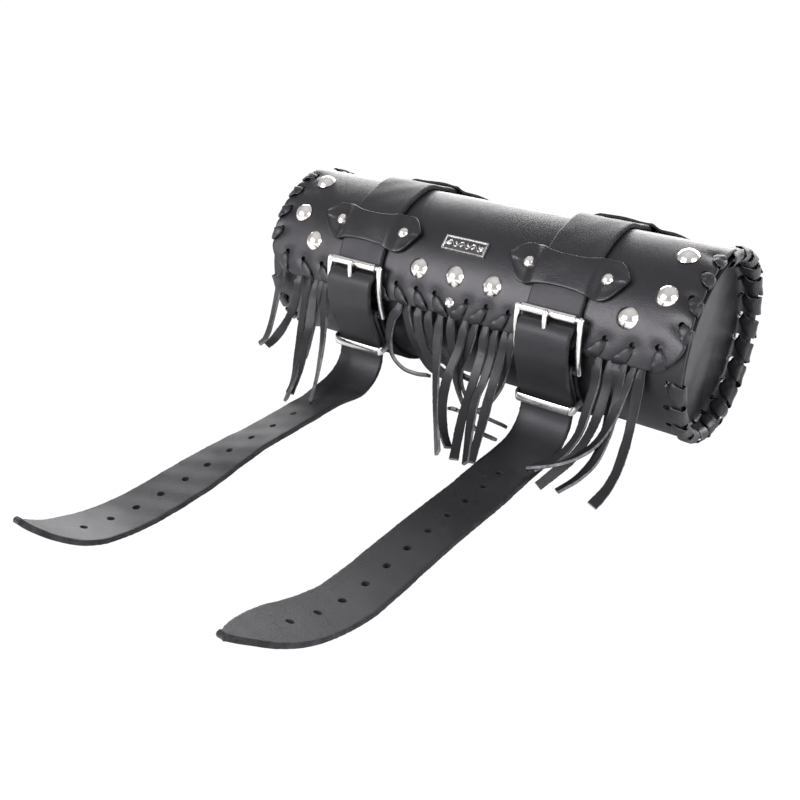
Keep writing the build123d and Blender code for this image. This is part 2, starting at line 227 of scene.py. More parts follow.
def sheet(name, top, bottom, mats, closed=False, cap=False, sharp=40):
    """Solid between two grids (rows, cols, 3); its walls take material 1.

    closed joins the last row to the first; cap closes the last column with a fan.
    """
    rows, cols = top.shape[:2]
    under = rows * cols
    verts = np.vstack([top.reshape(-1, 3), bottom.reshape(-1, 3)])
    faces, slots = [], []

    def add(face, slot):
        faces.append(face)
        slots.append(slot)

    def add_wall(p, q, flip):
        face = (p, q, under + q, under + p)
        add(face[::-1] if flip else face, 1)

    for i in range(rows if closed else rows - 1):
        here, there = i * cols, (i + 1) % rows * cols
        for j in range(cols - 1):
            p, q = here + j, there + j
            add((p, p + 1, q + 1, q), 0)
            add((under + q, under + q + 1, under + p + 1, under + p), 0)
        add_wall(here, there, False)
        if not cap:
            add_wall(here + cols - 1, there + cols - 1, True)
    if not closed:
        for i, flip in ((0, True), (rows - 1, False)):
            for j in range(cols - 1):
                add_wall(i * cols + j, i * cols + j + 1, flip)
    if cap:
        top_hub, bottom_hub = len(verts), len(verts) + 1
        verts = np.vstack([verts, top[:, -1].mean(0), bottom[:, -1].mean(0)])
        for i in range(rows):
            p, q = i * cols + cols - 1, (i + 1) % rows * cols + cols - 1
            add((p, top_hub, q), 0)
            add((under + q, bottom_hub, under + p), 0)
    return make(name, verts, faces, mats, slots, sharp)


class Tubes:
    """Closed tubes gathered into one mesh; edge sides and ends take material 1."""

    def __init__(self):
        self.verts, self.faces, self.slots = [], [], []

    def add(self, rings, edge_sides):
        base = len(self.verts)
        count, sides = rings.shape[:2]
        self.verts.extend(rings.reshape(-1, 3))
        for i in range(count - 1):
            here = base + i * sides
            there = here + sides
            for j in range(sides):
                after = (j + 1) % sides
                self.faces.append((here + j, here + after, there + after, there + j))
                self.slots.append(int(j in edge_sides))
        last = base + (count - 1) * sides
        self.faces.append(tuple(range(base, base + sides))[::-1])
        self.faces.append(tuple(range(last, last + sides)))
        self.slots += [1, 1]

    def make(self, name, mats, sharp):
        return make(name, self.verts, self.faces, mats, self.slots, sharp)


def face_centres(mesh):
    centres = np.zeros(len(mesh.polygons) * 3)
    mesh.polygons.foreach_get("center", centres)
    return centres.reshape(-1, 3) * 1000


def paint_edges(obj, is_edge):
    """Faces whose centre passes the test take material 1."""
    mesh = obj.data
    slots = np.zeros(len(mesh.polygons), np.int32)
    mesh.polygons.foreach_get("material_index", slots)
    slots[is_edge(face_centres(mesh))] = 1
    mesh.polygons.foreach_set("material_index", slots)
    mesh.update()


def make_cutter(holes, sides=20):
    verts, faces = [], []
    angles = np.linspace(0, 2 * np.pi, sides, endpoint=False) + 0.05
    for point, direction, radius, length in holes:
        base = len(verts)
        point, axis = np.array(point, float), unit(np.array(direction, float))
        across = unit(np.cross(axis, [1.0, 0.13, 0.07]))
        other = np.cross(axis, across)
        ring = radius * (np.cos(angles)[:, None] * across + np.sin(angles)[:, None] * other)
        verts += list(point - axis * length / 2 + ring) + list(point + axis * length / 2 + ring)
        faces.append(tuple(base + i for i in range(sides))[::-1])
        faces.append(tuple(base + sides + i for i in range(sides)))
        for i in range(sides):
            after = (i + 1) % sides
            faces.append((base + i, base + after, base + sides + after, base + sides + i))
    mesh = bpy.data.meshes.new("cutter")
    mesh.from_pydata((np.array(verts) * MM).tolist(), [], faces)
    mesh.update()
    cutter = new_object("cutter", mesh)
    face_outward(cutter)
    return cutter


def cut(obj, holes):
    """Drill round holes, each given as (point, direction, radius, length)."""
    cutter = make_cutter(holes)
    result = None
    for solver in ("MANIFOLD", "EXACT"):
        # guards a solver that this build lacks, or that fails on this mesh
        try:
            mod = obj.modifiers.new("cut", "BOOLEAN")
            mod.operation = "DIFFERENCE"
            mod.object = cutter
            mod.solver = solver
            bpy.context.view_layer.update()
            depsgraph = bpy.context.evaluated_depsgraph_get()
            mesh = bpy.data.meshes.new_from_object(obj.evaluated_get(depsgraph))
            obj.modifiers.remove(mod)
            before, after = len(obj.data.polygons), len(mesh.polygons)
            if after > before * 0.8 and after != before:
                result = mesh
                break
        except (TypeError, RuntimeError):
            while obj.modifiers:
                obj.modifiers.remove(obj.modifiers[0])
    bpy.data.objects.remove(cutter)
    if result is not None:
        obj.data = result
        smooth_shade(obj, 35)


def barrel_hole(x, mid_r, deg, radius, length):
    return on_barrel(x, mid_r, deg), outward(deg), radius, length


def blend_to_lid(obj):
    """Bake the object's placement into its mesh; it is not bent from bag to lid."""
    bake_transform(obj)


# ----------------------------------------------------------------- materials
def set_inputs(node, **inputs):
    """Socket names are given with underscores for spaces."""
    for name, value in inputs.items():
        node.inputs[name.replace("_", " ")].default_value = value


class Shader:
    """Node tree of a material or world, emptied and ready to fill."""

    def __init__(self, owner):
        owner.use_nodes = True
        self.tree = owner.node_tree
        self.tree.nodes.clear()

    def node(self, kind, operation=None, **inputs):
        node = self.tree.nodes.new("ShaderNode" + kind)
        if operation:
            node.operation = operation
        set_inputs(node, **inputs)
        return node

    def link(self, source, target):
        self.tree.links.new(source, target)

    def noise(self, coords, scale, detail, roughness):
        node = self.node("TexNoise", Scale=scale, Detail=detail, Roughness=roughness)
        self.link(coords, node.inputs["Vector"])
        return node.outputs

    def ramp(self, source, stops):
        node = self.node("ValToRGB")
        elements = node.color_ramp.elements
        for element, (position, color) in zip(elements, (stops[0], stops[-1])):
            element.position = position
            element.color = (*color, 1)
        for position, color in stops[1:-1]:
            elements.new(position).color = (*color, 1)
        self.link(source, node.inputs[0])
        return node.outputs[0]

    def map_range(self, source, from_min, from_max, to_min, to_max):
        node = self.node("MapRange", From_Min=from_min, From_Max=from_max,
                         To_Min=to_min, To_Max=to_max)
        self.link(source, node.inputs["Value"])
        return node.outputs[0]

    def bump(self, height, distance, strength=1.0, below=None, invert=False):
        node = self.node("Bump", Strength=strength, Distance=distance)
        node.invert = invert
        self.link(height, node.inputs["Height"])
        if below is not None:
            self.link(below, node.inputs["Normal"])
        return node.outputs[0]


def start_material(name):
    mat = bpy.data.materials.new(name)
    shader = Shader(mat)
    output = shader.node("OutputMaterial")
    surface = shader.node("BsdfPrincipled")
    shader.link(surface.outputs[0], output.inputs[0])
    coords = shader.node("TexCoord").outputs["Object"]
    return mat, shader, surface, coords


def leather(name, dark, light, rough, rough_spread, grain, grain_depth, crease_depth,
            coat, specular):
    mat, shader, surface, coords = start_material(name)
    link = shader.link
    cloud = shader.noise(coords, scale=28.0, detail=5.0, roughness=0.6)
    crease = shader.noise(coords, scale=210.0, detail=6.0, roughness=0.65)
    cells = shader.node("TexVoronoi")
    cells.feature = "SMOOTH_F1"
    set_inputs(cells, Scale=grain, Smoothness=0.35)
    # the crease noise pushes the grain cells out of line
    warp = shader.node("VectorMath", "MULTIPLY_ADD")
    link(crease["Color"], warp.inputs[0])
    warp.inputs[1].default_value = (0.0016, 0.0016, 0.0016)
    link(coords, warp.inputs[2])
    link(warp.outputs[0], cells.inputs["Vector"])
    pores = shader.noise(coords, scale=2600.0, detail=2.0, roughness=0.5)
    # colour and roughness follow 65% cloud, 35% crease
    blend = shader.node("Math", "MULTIPLY_ADD")
    link(cloud["Fac"], blend.inputs[0])
    blend.inputs[1].default_value = 0.65
    part = shader.node("Math", "MULTIPLY")
    link(crease["Fac"], part.inputs[0])
    part.inputs[1].default_value = 0.35
    link(part.outputs[0], blend.inputs[2])
    shade = blend.outputs[0]
    link(shader.ramp(shade, [(0.35, dark), (0.68, light)]), surface.inputs["Base Color"])
    gloss = shader.map_range(shade, from_min=0.35, from_max=0.68,
                             to_min=rough - rough_spread, to_max=rough + rough_spread)
    link(gloss, surface.inputs["Roughness"])
    set_inputs(surface, Specular_IOR_Level=specular, Specular_Tint=(0.965, 0.945, 1.0, 1.0),
               Coat_Weight=coat, Coat_Roughness=0.28)
    relief = shader.bump(crease["Fac"], crease_depth)
    relief = shader.bump(cells.outputs["Distance"], grain_depth, below=relief, invert=True)
    relief = shader.bump(pores["Fac"], grain_depth * 0.35, strength=0.6, below=relief)
    link(relief, surface.inputs["Normal"])
    return mat


def raw_edge(name, dark, light, scale):
    """Cut edge of the hide: pale, fibrous, quite matte."""
    mat, shader, surface, coords = start_material(name)
    link = shader.link
    fibre = shader.noise(coords, scale=scale, detail=6.0, roughness=0.7)
    patch = shader.noise(coords, scale=130.0, detail=3.0, roughness=0.6)
    total = shader.node("Math", "ADD")
    link(fibre["Fac"], total.inputs[0])
    link(patch["Fac"], total.inputs[1])
    mean = shader.node("Math", "MULTIPLY")
    link(total.outputs[0], mean.inputs[0])
    mean.inputs[1].default_value = 0.5
    color = shader.ramp(mean.outputs[0], [(0.4, dark), (0.62, light)])
    link(color, surface.inputs["Base Color"])
    set_inputs(surface, Roughness=0.85, Specular_IOR_Level=0.3)
    link(shader.bump(fibre["Fac"], distance=0.00035), surface.inputs["Normal"])
    return mat


def metal(name, base, rough):
    """Lightly clouded metal with fine slanting scratches."""
    mat, shader, surface, coords = start_material(name)
    link = shader.link
    set_inputs(surface, Metallic=1.0)
    cloud = shader.noise(coords, scale=190.0, detail=5.0, roughness=0.6)["Fac"]
    darker = tuple(v * 0.86 for v in base)
    link(shader.ramp(cloud, [(0.35, darker), (0.62, base)]), surface.inputs["Base Color"])
    slant = shader.node("Mapping", Scale=(900.0, 120.0, 420.0), Rotation=(0.4, 0.9, 0.3))
    link(coords, slant.inputs["Vector"])
    scratch = shader.noise(slant.outputs[0], scale=1.0, detail=3.0, roughness=0.7)["Fac"]
    gloss = shader.map_range(scratch, from_min=0.3, from_max=0.75,
                             to_min=rough * 0.7, to_max=rough * 1.8)
    link(gloss, surface.inputs["Roughness"])
    relief = shader.bump(scratch, distance=0.00002, strength=0.5)
    relief = shader.bump(cloud, distance=0.00008, strength=0.35, below=relief)
    link(relief, surface.inputs["Normal"])
    return mat


BODY = leather("body_leather", dark=(0.0040, 0.0036, 0.0044), light=(0.0085, 0.0078, 0.0094),
               rough=0.41, rough_spread=0.05, grain=1250.0, grain_depth=0.00009,
               crease_depth=0.00010, coat=0.10, specular=0.47)
STRAP = leather("strap_leather", dark=(0.0075, 0.0072, 0.0082), light=(0.015, 0.0145, 0.0165),
                rough=0.50, rough_spread=0.05, grain=1400.0, grain_depth=0.00008,
                crease_depth=0.00010, coat=0.0, specular=0.45)
KEEPER = leather("keeper_leather", dark=(0.0045, 0.0041, 0.0049),
                 light=(0.0095, 0.0088, 0.0104),
                 rough=0.38, rough_spread=0.05, grain=1250.0, grain_depth=0.00008,
                 crease_depth=0.00012, coat=0.12, specular=0.48)
LACE = leather("lace_leather", dark=(0.0055, 0.0052, 0.0062), light=(0.013, 0.0122, 0.0142),
               rough=0.44, rough_spread=0.06, grain=1600.0, grain_depth=0.00008,
               crease_depth=0.00026, coat=0.05, specular=0.48)
FRINGE = leather("fringe_leather", dark=(0.0036, 0.0034, 0.0040),
                 light=(0.0080, 0.0076, 0.0088),
                 rough=0.40, rough_spread=0.06, grain=1600.0, grain_depth=0.00008,
                 crease_depth=0.00020, coat=0.0, specular=0.42)
EDGE = raw_edge("cut_edge", dark=(0.010, 0.010, 0.0115), light=(0.042, 0.042, 0.046),
                scale=1100.0)
LACE_EDGE = raw_edge("cut_edge_lace", dark=(0.05, 0.05, 0.055), light=(0.20, 0.20, 0.212),
                     scale=1500.0)
FRINGE_EDGE = raw_edge("cut_edge_fringe", dark=(0.07, 0.07, 0.076), light=(0.25, 0.25, 0.262),
                       scale=1300.0)
STUD_NICKEL = metal("nickel_studs", base=(0.92, 0.885, 0.84), rough=0.15)
BUCKLE_NICKEL = metal("nickel_buckle", base=(0.88, 0.865, 0.84), rough=0.14)
PLAQUE = metal("plaque_metal", base=(0.62, 0.61, 0.59), rough=0.20)
PLAQUE_FIELD = metal("plaque_field", base=(0.09, 0.088, 0.09), rough=0.38)

# ------------------------------------------------------ flap outline and holes
# The flap laid flat: x across, "down" the arc from the top of the barrel.
FLAP_LEN = FLAP_R * math.radians(FLAP_END_DEG)
CORNER_R = 24.5
CORNER_X = HALF_LEN - CORNER_R
CORNER_DOWN = FLAP_LEN - CORNER_R
CORNER_ARC = CORNER_R * math.pi / 2


def flap_edge(along, inset):
    """Flat place inset from the flap's edge, along it from the middle of the front."""
    sign = 1 if along >= 0 else -1
    t = abs(along)
    if t < CORNER_X:
        point, inward = (t, FLAP_LEN), (0.0, -1.0)
    elif t < CORNER_X + CORNER_ARC:
        turn = (t - CORNER_X) / CORNER_R
        point = (CORNER_X + CORNER_R * math.sin(turn), CORNER_DOWN + CORNER_R * math.cos(turn))
        inward = (-math.sin(turn), -math.cos(turn))
    else:
        point, inward = (HALF_LEN, CORNER_DOWN - (t - CORNER_X - CORNER_ARC)), (-1.0, 0.0)
    return sign * (point[0] + inward[0] * inset), point[1] + inward[1] * inset


def edge_place(x, down):
    """Distance from the flap's edge, place along it, and the inward direction."""
    far = np.abs(x)
    in_corner = (far > CORNER_X) & (down > CORNER_DOWN)
    radius = np.hypot(far - CORNER_X, down - CORNER_DOWN)
    at_front = FLAP_LEN - down < HALF_LEN - far
    distance = np.where(in_corner, CORNER_R - radius,
                        np.minimum(FLAP_LEN - down, HALF_LEN - far))
    corner_along = CORNER_X + CORNER_R * np.arctan2(far - CORNER_X, down - CORNER_DOWN)
    side_along = CORNER_X + CORNER_ARC + (CORNER_DOWN - down)
    along = np.where(in_corner, corner_along, np.where(at_front, far, side_along)) * np.sign(x)
    safe = np.maximum(radius, 1e-3)
    in_x = np.where(in_corner, -(far - CORNER_X) / safe,
                    np.where(at_front, 0.0, -1.0)) * np.sign(x)
    in_down = np.where(in_corner, -(down - CORNER_DOWN) / safe, np.where(at_front, -1.0, 0.0))
    return distance, along, in_x, in_down


# Holes of one half of the flap: x, degrees
HALF_HOLES = [(x, 75.0) for x in (13.0, 28.5, 45.5, 62.5, 79.5, 97.0, 114.5, 132.5)]
HALF_HOLES += [(148.5, 72.5)]
HALF_HOLES += [(158.5, deg) for deg in (58.5, 43.5, 27.5, 12.0)]
FLAP_HOLES = [(sign * x, deg) for x, deg in HALF_HOLES for sign in (-1, 1)]
# Places of the stitches along the edge of one half, and of both
HALF_STITCHES = sorted(float(edge_place(x, FLAP_R * math.radians(deg))[1])
                       for x, deg in HALF_HOLES)
STITCHES = np.array([sign * along for sign in (-1, 1) for along in HALF_STITCHES])
STITCH_LEAN = 7.2              # how far a stitch slants along the edge

END_PITCH = 16.2
END_DEGS = [92.5 + END_PITCH * i for i in range(17)]
END_X = 156.5
END_HOLE_R = 2.3

# -------------------------------------------------------------- hide and flap
sag = waves(3, 7, 0.12, 0.6)
ripple = waves(5, 9, 0.8, 2.2)
HIDE_INSETS = (0.0, 0.25, 0.7, 1.4, 3.0)
BACK_JOIN_DEG = -60            # where the flap's piece meets the body's, at the back


def hide_radius(deg):
    """Outside radius of the hide; it rises onto the flap's radius at the top."""
    return BODY_R + (FLAP_R - BODY_R) * ease(-14.0, 3.0, deg)


def stitch_pull(along, distance, width):
    """0..1, high along the slanting line of each stitch."""
    pull = 0
    for stitch in STITCHES:
        centre = stitch - np.sign(stitch) * STITCH_LEAN * (1 - np.clip(distance, 0, 12.5) / 12.5)
        pull = pull + np.exp(-((along - centre) / width) ** 2)
    return np.minimum(pull, 1.0)


def flap_relief(x, deg):
    """Broad sag, dimples at the holes, puckers from each stitch to the edge."""
    dimple_depth, dimple_size = 0.8, 2.9
    down = FLAP_R * np.radians(deg)
    height = 0.22 * sag(x / 100, down / 100) + 0.05 * ripple(x / 40, down / 40)
    dimples = 0
    for hole_x, hole_deg in FLAP_HOLES:
        square = (x - hole_x) ** 2 + (down - FLAP_R * math.radians(hole_deg)) ** 2
        dimples = dimples - dimple_depth * np.exp(-square / (2 * dimple_size ** 2))
    height = height + dimples
    distance, along = edge_place(x, down)[:2]
    pull = stitch_pull(along, distance, width=4.6)
    fade = ease(-6, 8, deg) * np.exp(-np.maximum(distance, 0) / 8.5)
    return height + fade * (1.05 - 1.95 * pull) * 0.85


def end_relief(x, deg):
    """Puckers of the hide's rims at the end lacing."""
    pull = 0
    for hole_deg in END_DEGS:
        for same_deg in (hole_deg, hole_deg - 360):
            arc = (deg - same_deg - 3.0) * math.pi / 180 * BODY_R
            pull = pull + np.exp(-(arc / 5.0) ** 2)
    return np.exp(-(HALF_LEN - np.abs(x)) / 6.5) * (0.35 - 0.9 * pull) * 0.9


def build_flap():
    """Top of the hide and the lid flap, with rounded front corners."""
    turns = np.linspace(0, np.pi / 2, 50)
    row_deg = np.r_[np.linspace(BACK_JOIN_DEG, 2, 44, endpoint=False),
                    np.linspace(2, math.degrees(CORNER_DOWN / FLAP_R), 58, endpoint=False),
                    np.degrees((CORNER_DOWN + CORNER_R * np.sin(turns)) / FLAP_R)]
    row_deg[-1] = FLAP_END_DEG
    row_down = FLAP_R * np.radians(row_deg)
    bulge = np.sqrt(np.maximum(CORNER_R ** 2 - (row_down - CORNER_DOWN) ** 2, 0))
    row_half = np.where(row_down > CORNER_DOWN, CORNER_X + bulge, HALF_LEN)[:, None]
    columns = strip_columns(HALF_LEN, HIDE_INSETS, 2.2)
    x = (columns / HALF_LEN)[None] * row_half
    # the outer columns keep their true distance from the edge
    x[:, :4] = -row_half + (HALF_LEN + columns[:4])[None]
    x[:, -4:] = row_half - (HALF_LEN - columns[-4:])[None]
    deg = row_deg[:, None] + 0 * x
    down = row_down[:, None] + 0 * x

    distance, along, in_x, in_down = edge_place(x, down)
    half_t = HALF_HIDE * edge_share(np.maximum(distance, 0), 1.0)
    back = 1 - ease(-12, 2, deg)
    back_relief = end_relief(x, deg) + 0.22 * sag(x / 100, down / 100)
    relief = flap_relief(x, deg) * (1 - back) + back * back_relief
    radius = hide_radius(deg) - HALF_HIDE + relief
    # stitches draw the edge inward, and it swells a little between them
    draw = ((1.5 * stitch_pull(along, distance, width=4.0) - 0.25)
            * np.exp(-np.maximum(distance, 0) / 5.0) * ease(-2, 10, deg))
    x = x + in_x * draw
    deg = deg + np.degrees(in_down * draw / FLAP_R)

    flap = sheet("flap_leather", on_barrel(x, radius + half_t, deg),
                 on_barrel(x, radius - half_t, deg), [BODY, EDGE])
    cut(flap, [barrel_hole(hole_x, 64, hole_deg, 2.15, 12) for hole_x, hole_deg in FLAP_HOLES]
        + [barrel_hole(sign * END_X, 62, hole_deg - 360, END_HOLE_R, 12)
           for sign in (-1, 1) for hole_deg in END_DEGS if hole_deg - 360 > -58])
    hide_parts("lid_flap")
    return flap


def build_body():
    """Rest of the hide, from its edge under the flap, round the bottom to the back."""
    start_deg = 60.0
    row_deg = np.r_[start_deg, 60.25, 60.7, 61.4, np.linspace(62.5, 360 + BACK_JOIN_DEG, 190)]
    x = np.tile(strip_columns(HALF_LEN, HIDE_INSETS, 2.4), (len(row_deg), 1))
    deg = row_deg[:, None] + 0 * x
    distance = np.minimum(HALF_LEN - np.abs(x), (deg - start_deg) * math.pi / 180 * BODY_R)
    half_t = HALF_HIDE * edge_share(distance, 1.0)
    down = FLAP_R * np.radians(deg - 360)
    relief = end_relief(x, deg) + 0.22 * sag(x / 100, down / 100) * ease(60, 110, deg)
    # under the flap the hide may only dip, never rise
    free = ease(58, 92, deg)
    relief = relief * free
    radius = BODY_R - HALF_HIDE + np.where(free < 1, np.minimum(relief, 0.0), relief)
    body = sheet("body_leather", on_barrel(x, radius + half_t, deg),
                 on_barrel(x, radius - half_t, deg), [BODY, EDGE])
    cut(body, [barrel_hole(sign * END_X, 62, hole_deg, END_HOLE_R, 12)
               for sign in (-1, 1) for hole_deg in END_DEGS if hole_deg < 302])
    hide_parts("body_panel")
    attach(body, "bag")


# ------------------------------------------------------------------- end cups
# Half section of an end, rim to centre: x, radius
CUP_PROFILE = spline([
    (164.9, 57.7), (162.0, 57.6), (158.0, 57.2), (155.0, 56.0), (153.2, 53.2), (152.4, 49.0),
    (152.0, 44.0), (151.9, 34.0), (152.1, 20.0), (152.4, 8.0), (152.5, 1.0)], 44)
CUP_HALF_T = 1.2
cup_folds = waves(21, 6, 0.5, 1.6)


def build_cup(side, sign):
    """Recessed round end, with its rim inside the hide."""
    deg = np.linspace(0, 360, 200, endpoint=False)[:, None]
    tangent = unit(np.gradient(CUP_PROFILE, axis=0))
    normal_x, normal_r = -tangent[:, 1], tangent[:, 0]
    # distance from the rim; past the first four stations the leather is full thickness
    rim_distance = np.r_[np.linspace(0, 1.4, 4), np.full(len(CUP_PROFILE) - 4, 9.0)]
    half_t = CUP_HALF_T * edge_share(rim_distance, 1.0)
    x, radius = CUP_PROFILE[None, :, 0], CUP_PROFILE[None, :, 1]
    relief = (0.45 * cup_folds(radius / 40 * np.cos(np.radians(deg)) + sign,
                               radius / 40 * np.sin(np.radians(deg))) * ease(58, 50, radius))
    pull = 0
    for hole_deg in END_DEGS:
        pull = pull + np.exp(-((((deg - hole_deg + 180) % 360 - 180) - 6.0) / 5.0) ** 2)
    relief = relief + 0.4 * pull * ease(150, 164, x) * ease(50, 57, radius)
    skins = [on_barrel(sign * (x + normal_x * offset), radius + normal_r * offset, deg)
             for offset in (relief + half_t, relief - half_t)]
    cup = sheet("end_cup_" + side, *skins, [BODY, EDGE], closed=True, cap=True)
    cut(cup, [barrel_hole(sign * END_X, 57, hole_deg, END_HOLE_R, 9) for hole_deg in END_DEGS])
    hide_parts("end_panel_" + side)
    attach(cup, "bag")


# ---------------------------------------------------------------- whip lacing
lace_rng = np.random.default_rng(4)

# One end stitch, out of its hole, over the rim and back inside. Columns: degrees past
# the hole, x, radius, lace normal (along x, outward), width, thickness
END_STITCH = np.array([
    (0.0, END_X + 1.3, 60.4, -0.75, 0.6, 3.9, 1.3),
    (0.4, END_X + 2.4, 62.3, -0.35, 1, 5.4, 1.3),
    (2.2, 160.8, 62.95, 0, 1, 8.6, 1.25),
    (4.4, 164.0, 62.9, 0.2, 1, 11.0, 1.15),
    (5.6, 166.1, 61.8, 0.75, 0.75, 12.2, 1.1),
    (6.4, 166.9, 59.4, 1, 0, 12.4, 1.1),
    (7.4, 166.2, 56.9, 0.75, -0.75, 12.0, 1.1),
    (9.0, 163.6, 55.4, 0.15, -1, 10.6, 1.1),
    (12.0, 160.0, 55.1, 0, -1, 8.0, 1.1),
    (15.0, 158.0, 55.4, -0.3, -1, 5.2, 1.1),
    (16.0, END_X + 1.0, 57.6, -0.8, -0.4, 3.6, 1.1)])

# One flap stitch, out of its hole, round the edge and back under. Columns: share of
# the lean, inset from the edge, height over the flap's middle surface, lace normal
# (toward the edge, outward), width, thickness
FLAP_STITCH = np.array([
    (0.0, 10.7, -0.9, -0.9, 0.4, 3.4, 1.25),
    (0.13, 9.7, 1.25, 0, 1, 4.4, 1.25),
    (0.36, 7.4, 1.95, 0, 1, 6.4, 1.25),
    (0.7, 3.4, 2.1, 0, 1, 8.0, 1.25),
    (0.95, 0.4, 1.6, 0.75, 0.75, 8.6, 1.25),
    (1.05, -1.9, 0.0, 1, 0, 8.6, 1.25),
    (1.15, 0.2, -1.6, 0.75, -0.75, 8.0, 1.0),
    (1.3, 4.0, -1.85, 0, -1, 6.0, 1.0),
    (1.55, 9.0, -1.85, 0, -1, 4.0, 1.0)])


def add_lace(tubes, stations, seed, crown, crease):
    """One lace through stations of x y z, normal x y z, width, thickness.

    It is crowned across, and its creases deepen where it is narrow.
    """
    rows = spline(stations, 40)
    centre, width, thickness = rows[:, :3], rows[:, 6], rows[:, 7]
    tangent = unit(np.gradient(centre, axis=0))
    across = unit(np.cross(tangent, unit(rows[:, 3:6])))
    normal = unit(np.cross(across, tangent))
    rng = np.random.default_rng(900 + seed)
    phase = rng.uniform(0, 6.28, 4)
    freq = rng.uniform(0.8, 1.5, 2)
    points = 9
    side = np.sin(np.linspace(-np.pi / 2, np.pi / 2, points)) * 0.999
    edge = np.sqrt(np.clip(1 - np.abs(side) ** 5, 0, 1)) * 0.75 + 0.25
    widest = width.max()
    rings = []
    for i in range(len(centre)):
        u = i / (len(centre) - 1)
        tight = np.clip(1 - width[i] / widest, 0, 1)
        fold = crease * (0.35 + 1.6 * tight) * (
            np.sin(side * 5.2 * freq[0] + phase[0] + 2.0 * u)
            + 0.6 * np.sin(side * 9.5 * freq[1] + phase[1] - 3 * u))
        height = crown * (width[i] / widest) * (1 - side ** 2) + fold * (1 - side ** 6)
        wobble = 1 + 0.025 * np.sin(23 * u + phase[2]) + 0.02 * np.sin(41 * u + phase[3])
        half_t = thickness[i] / 2 * edge
        line = centre[i] + across[i] * side[:, None] * width[i] / 2 * wobble
        upper = line + normal[i] * (height + half_t)[:, None]
        lower = line + normal[i] * (height - half_t)[:, None]
        rings.append(np.vstack([upper, lower[::-1]]))
    tubes.add(np.array(rings), edge_sides=(points - 1, 2 * points - 1))


def build_end_lace(side, sign):
    tubes = Tubes()
    for i, hole_deg in enumerate(END_DEGS):
        jitter = lace_rng.uniform(-1, 1, 6)
        stitch = END_STITCH.copy()
        stitch[2:8, 0] += np.r_[jitter[0] * np.array([0.5, 0.7, 1]),
                                jitter[1] * np.array([1, 1, 0.6])]
        stitch[2, 2] += 0.2 * jitter[2]
        stitch[5, 1] += 0.15 * jitter[3]
        stitch[2:4, 5] += jitter[4:] * (0.5, 0.6)
        deg = hole_deg + stitch[:, 0]
        points = on_barrel(sign * stitch[:, 1], stitch[:, 2], deg)
        normals = sign * stitch[:, 3:4] * np.array([1.0, 0, 0]) + outward(deg) * stitch[:, 4:5]
        add_lace(tubes, np.hstack([points, normals, stitch[:, 5:]]), 40 * (sign + 1) + i,
                 crown=0.35, crease=0.07)
    lace = tubes.make("end_lace_" + side, [LACE, LACE_EDGE], 50)
    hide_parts("end_lacing_" + side)
    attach(lace, "bag")


def on_flap(x, down, height):
    return on_barrel(x, FLAP_MID_R + height, math.degrees(down / FLAP_R))


def flap_stitch_stations(sign, along, jitter):
    lean = (STITCH_LEAN if along < CORNER_X + 20 else 5.2) + jitter[0] * 0.6
    inset_scale = 1.0 if along < CORNER_X + 40 else 0.55
    stitch = FLAP_STITCH.copy()
    stitch[2:4, 5] += jitter[1:3] * (0.4, 0.5)
    stations = []
    for share, inset, height, to_edge, out, width, thickness in stitch:
        if inset > 0:
            inset = inset * inset_scale
        # the edge itself is drawn inward by the stitch
        drawn = inset + 1.1 * math.exp(-max(inset, 0) / 5.0)
        x, down = flap_edge(sign * (along - lean * share), drawn)
        edge_at = sign * (along - lean * min(share, 1.0))
        edgeward = unit(on_flap(*flap_edge(edge_at, 0.0), 0)
                        - on_flap(*flap_edge(edge_at, 5.0), 0))
        normal = edgeward * to_edge + outward(math.degrees(down / FLAP_R)) * out
        stations.append([*on_flap(x, down, height), *normal, width, thickness])
    return stations


def build_flap_lace():
    tubes = Tubes()
    for sign in (-1, 1):
        for i, along in enumerate(HALF_STITCHES):
            stations = flap_stitch_stations(sign, along, lace_rng.uniform(-1, 1, 6))
            add_lace(tubes, stations, 200 + 20 * sign + i, crown=0.55, crease=0.09)
    lace = tubes.make("flap_lace", [LACE, LACE_EDGE], 50)
    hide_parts("lid_lacing")
    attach(lace, "lid")


flap = build_flap()
build_body()
for side, sign in SIDES:
    build_cup(side, sign)
for side, sign in SIDES:
    build_end_lace(side, sign)
build_flap_lace()

# --------------------------------------------------------------------- straps
FRONT_KEEPER_DEG, BACK_KEEPER_DEG = (
    barrel_deg(*(sum(box("%s_keeper_rivets" % place)) / 2)[1:]) for place in ("front", "back"))

# Front strap from the flap through the buckle, then down the front to the floor: y, z.
# The first table is placed for a roller at BEND_ROLLER and moves with it.
BEND_ROLLER = np.array([-68.2, 92.1])
ROLLER_BEND = [
    (-63.1, 91.2), (-64.4, 88.2), (-67.6, 86.4), (-71.6, 85.0), (-74.9, 81.6), (-76.2, 76.4),
    (-76.3, 70.0), (-75.9, 64.0)]
TAIL_DROP = [
    (-74.6, 58.0), (-72.4, 50.0), (-69.2, 42.0), (-65.9, 34.0), (-64.6, 26.0), (-65.2, 20.0),
    (-67.6, 14.2), (-72.0, 9.2), (-78.4, 5.2), (-86.5, 2.8)]
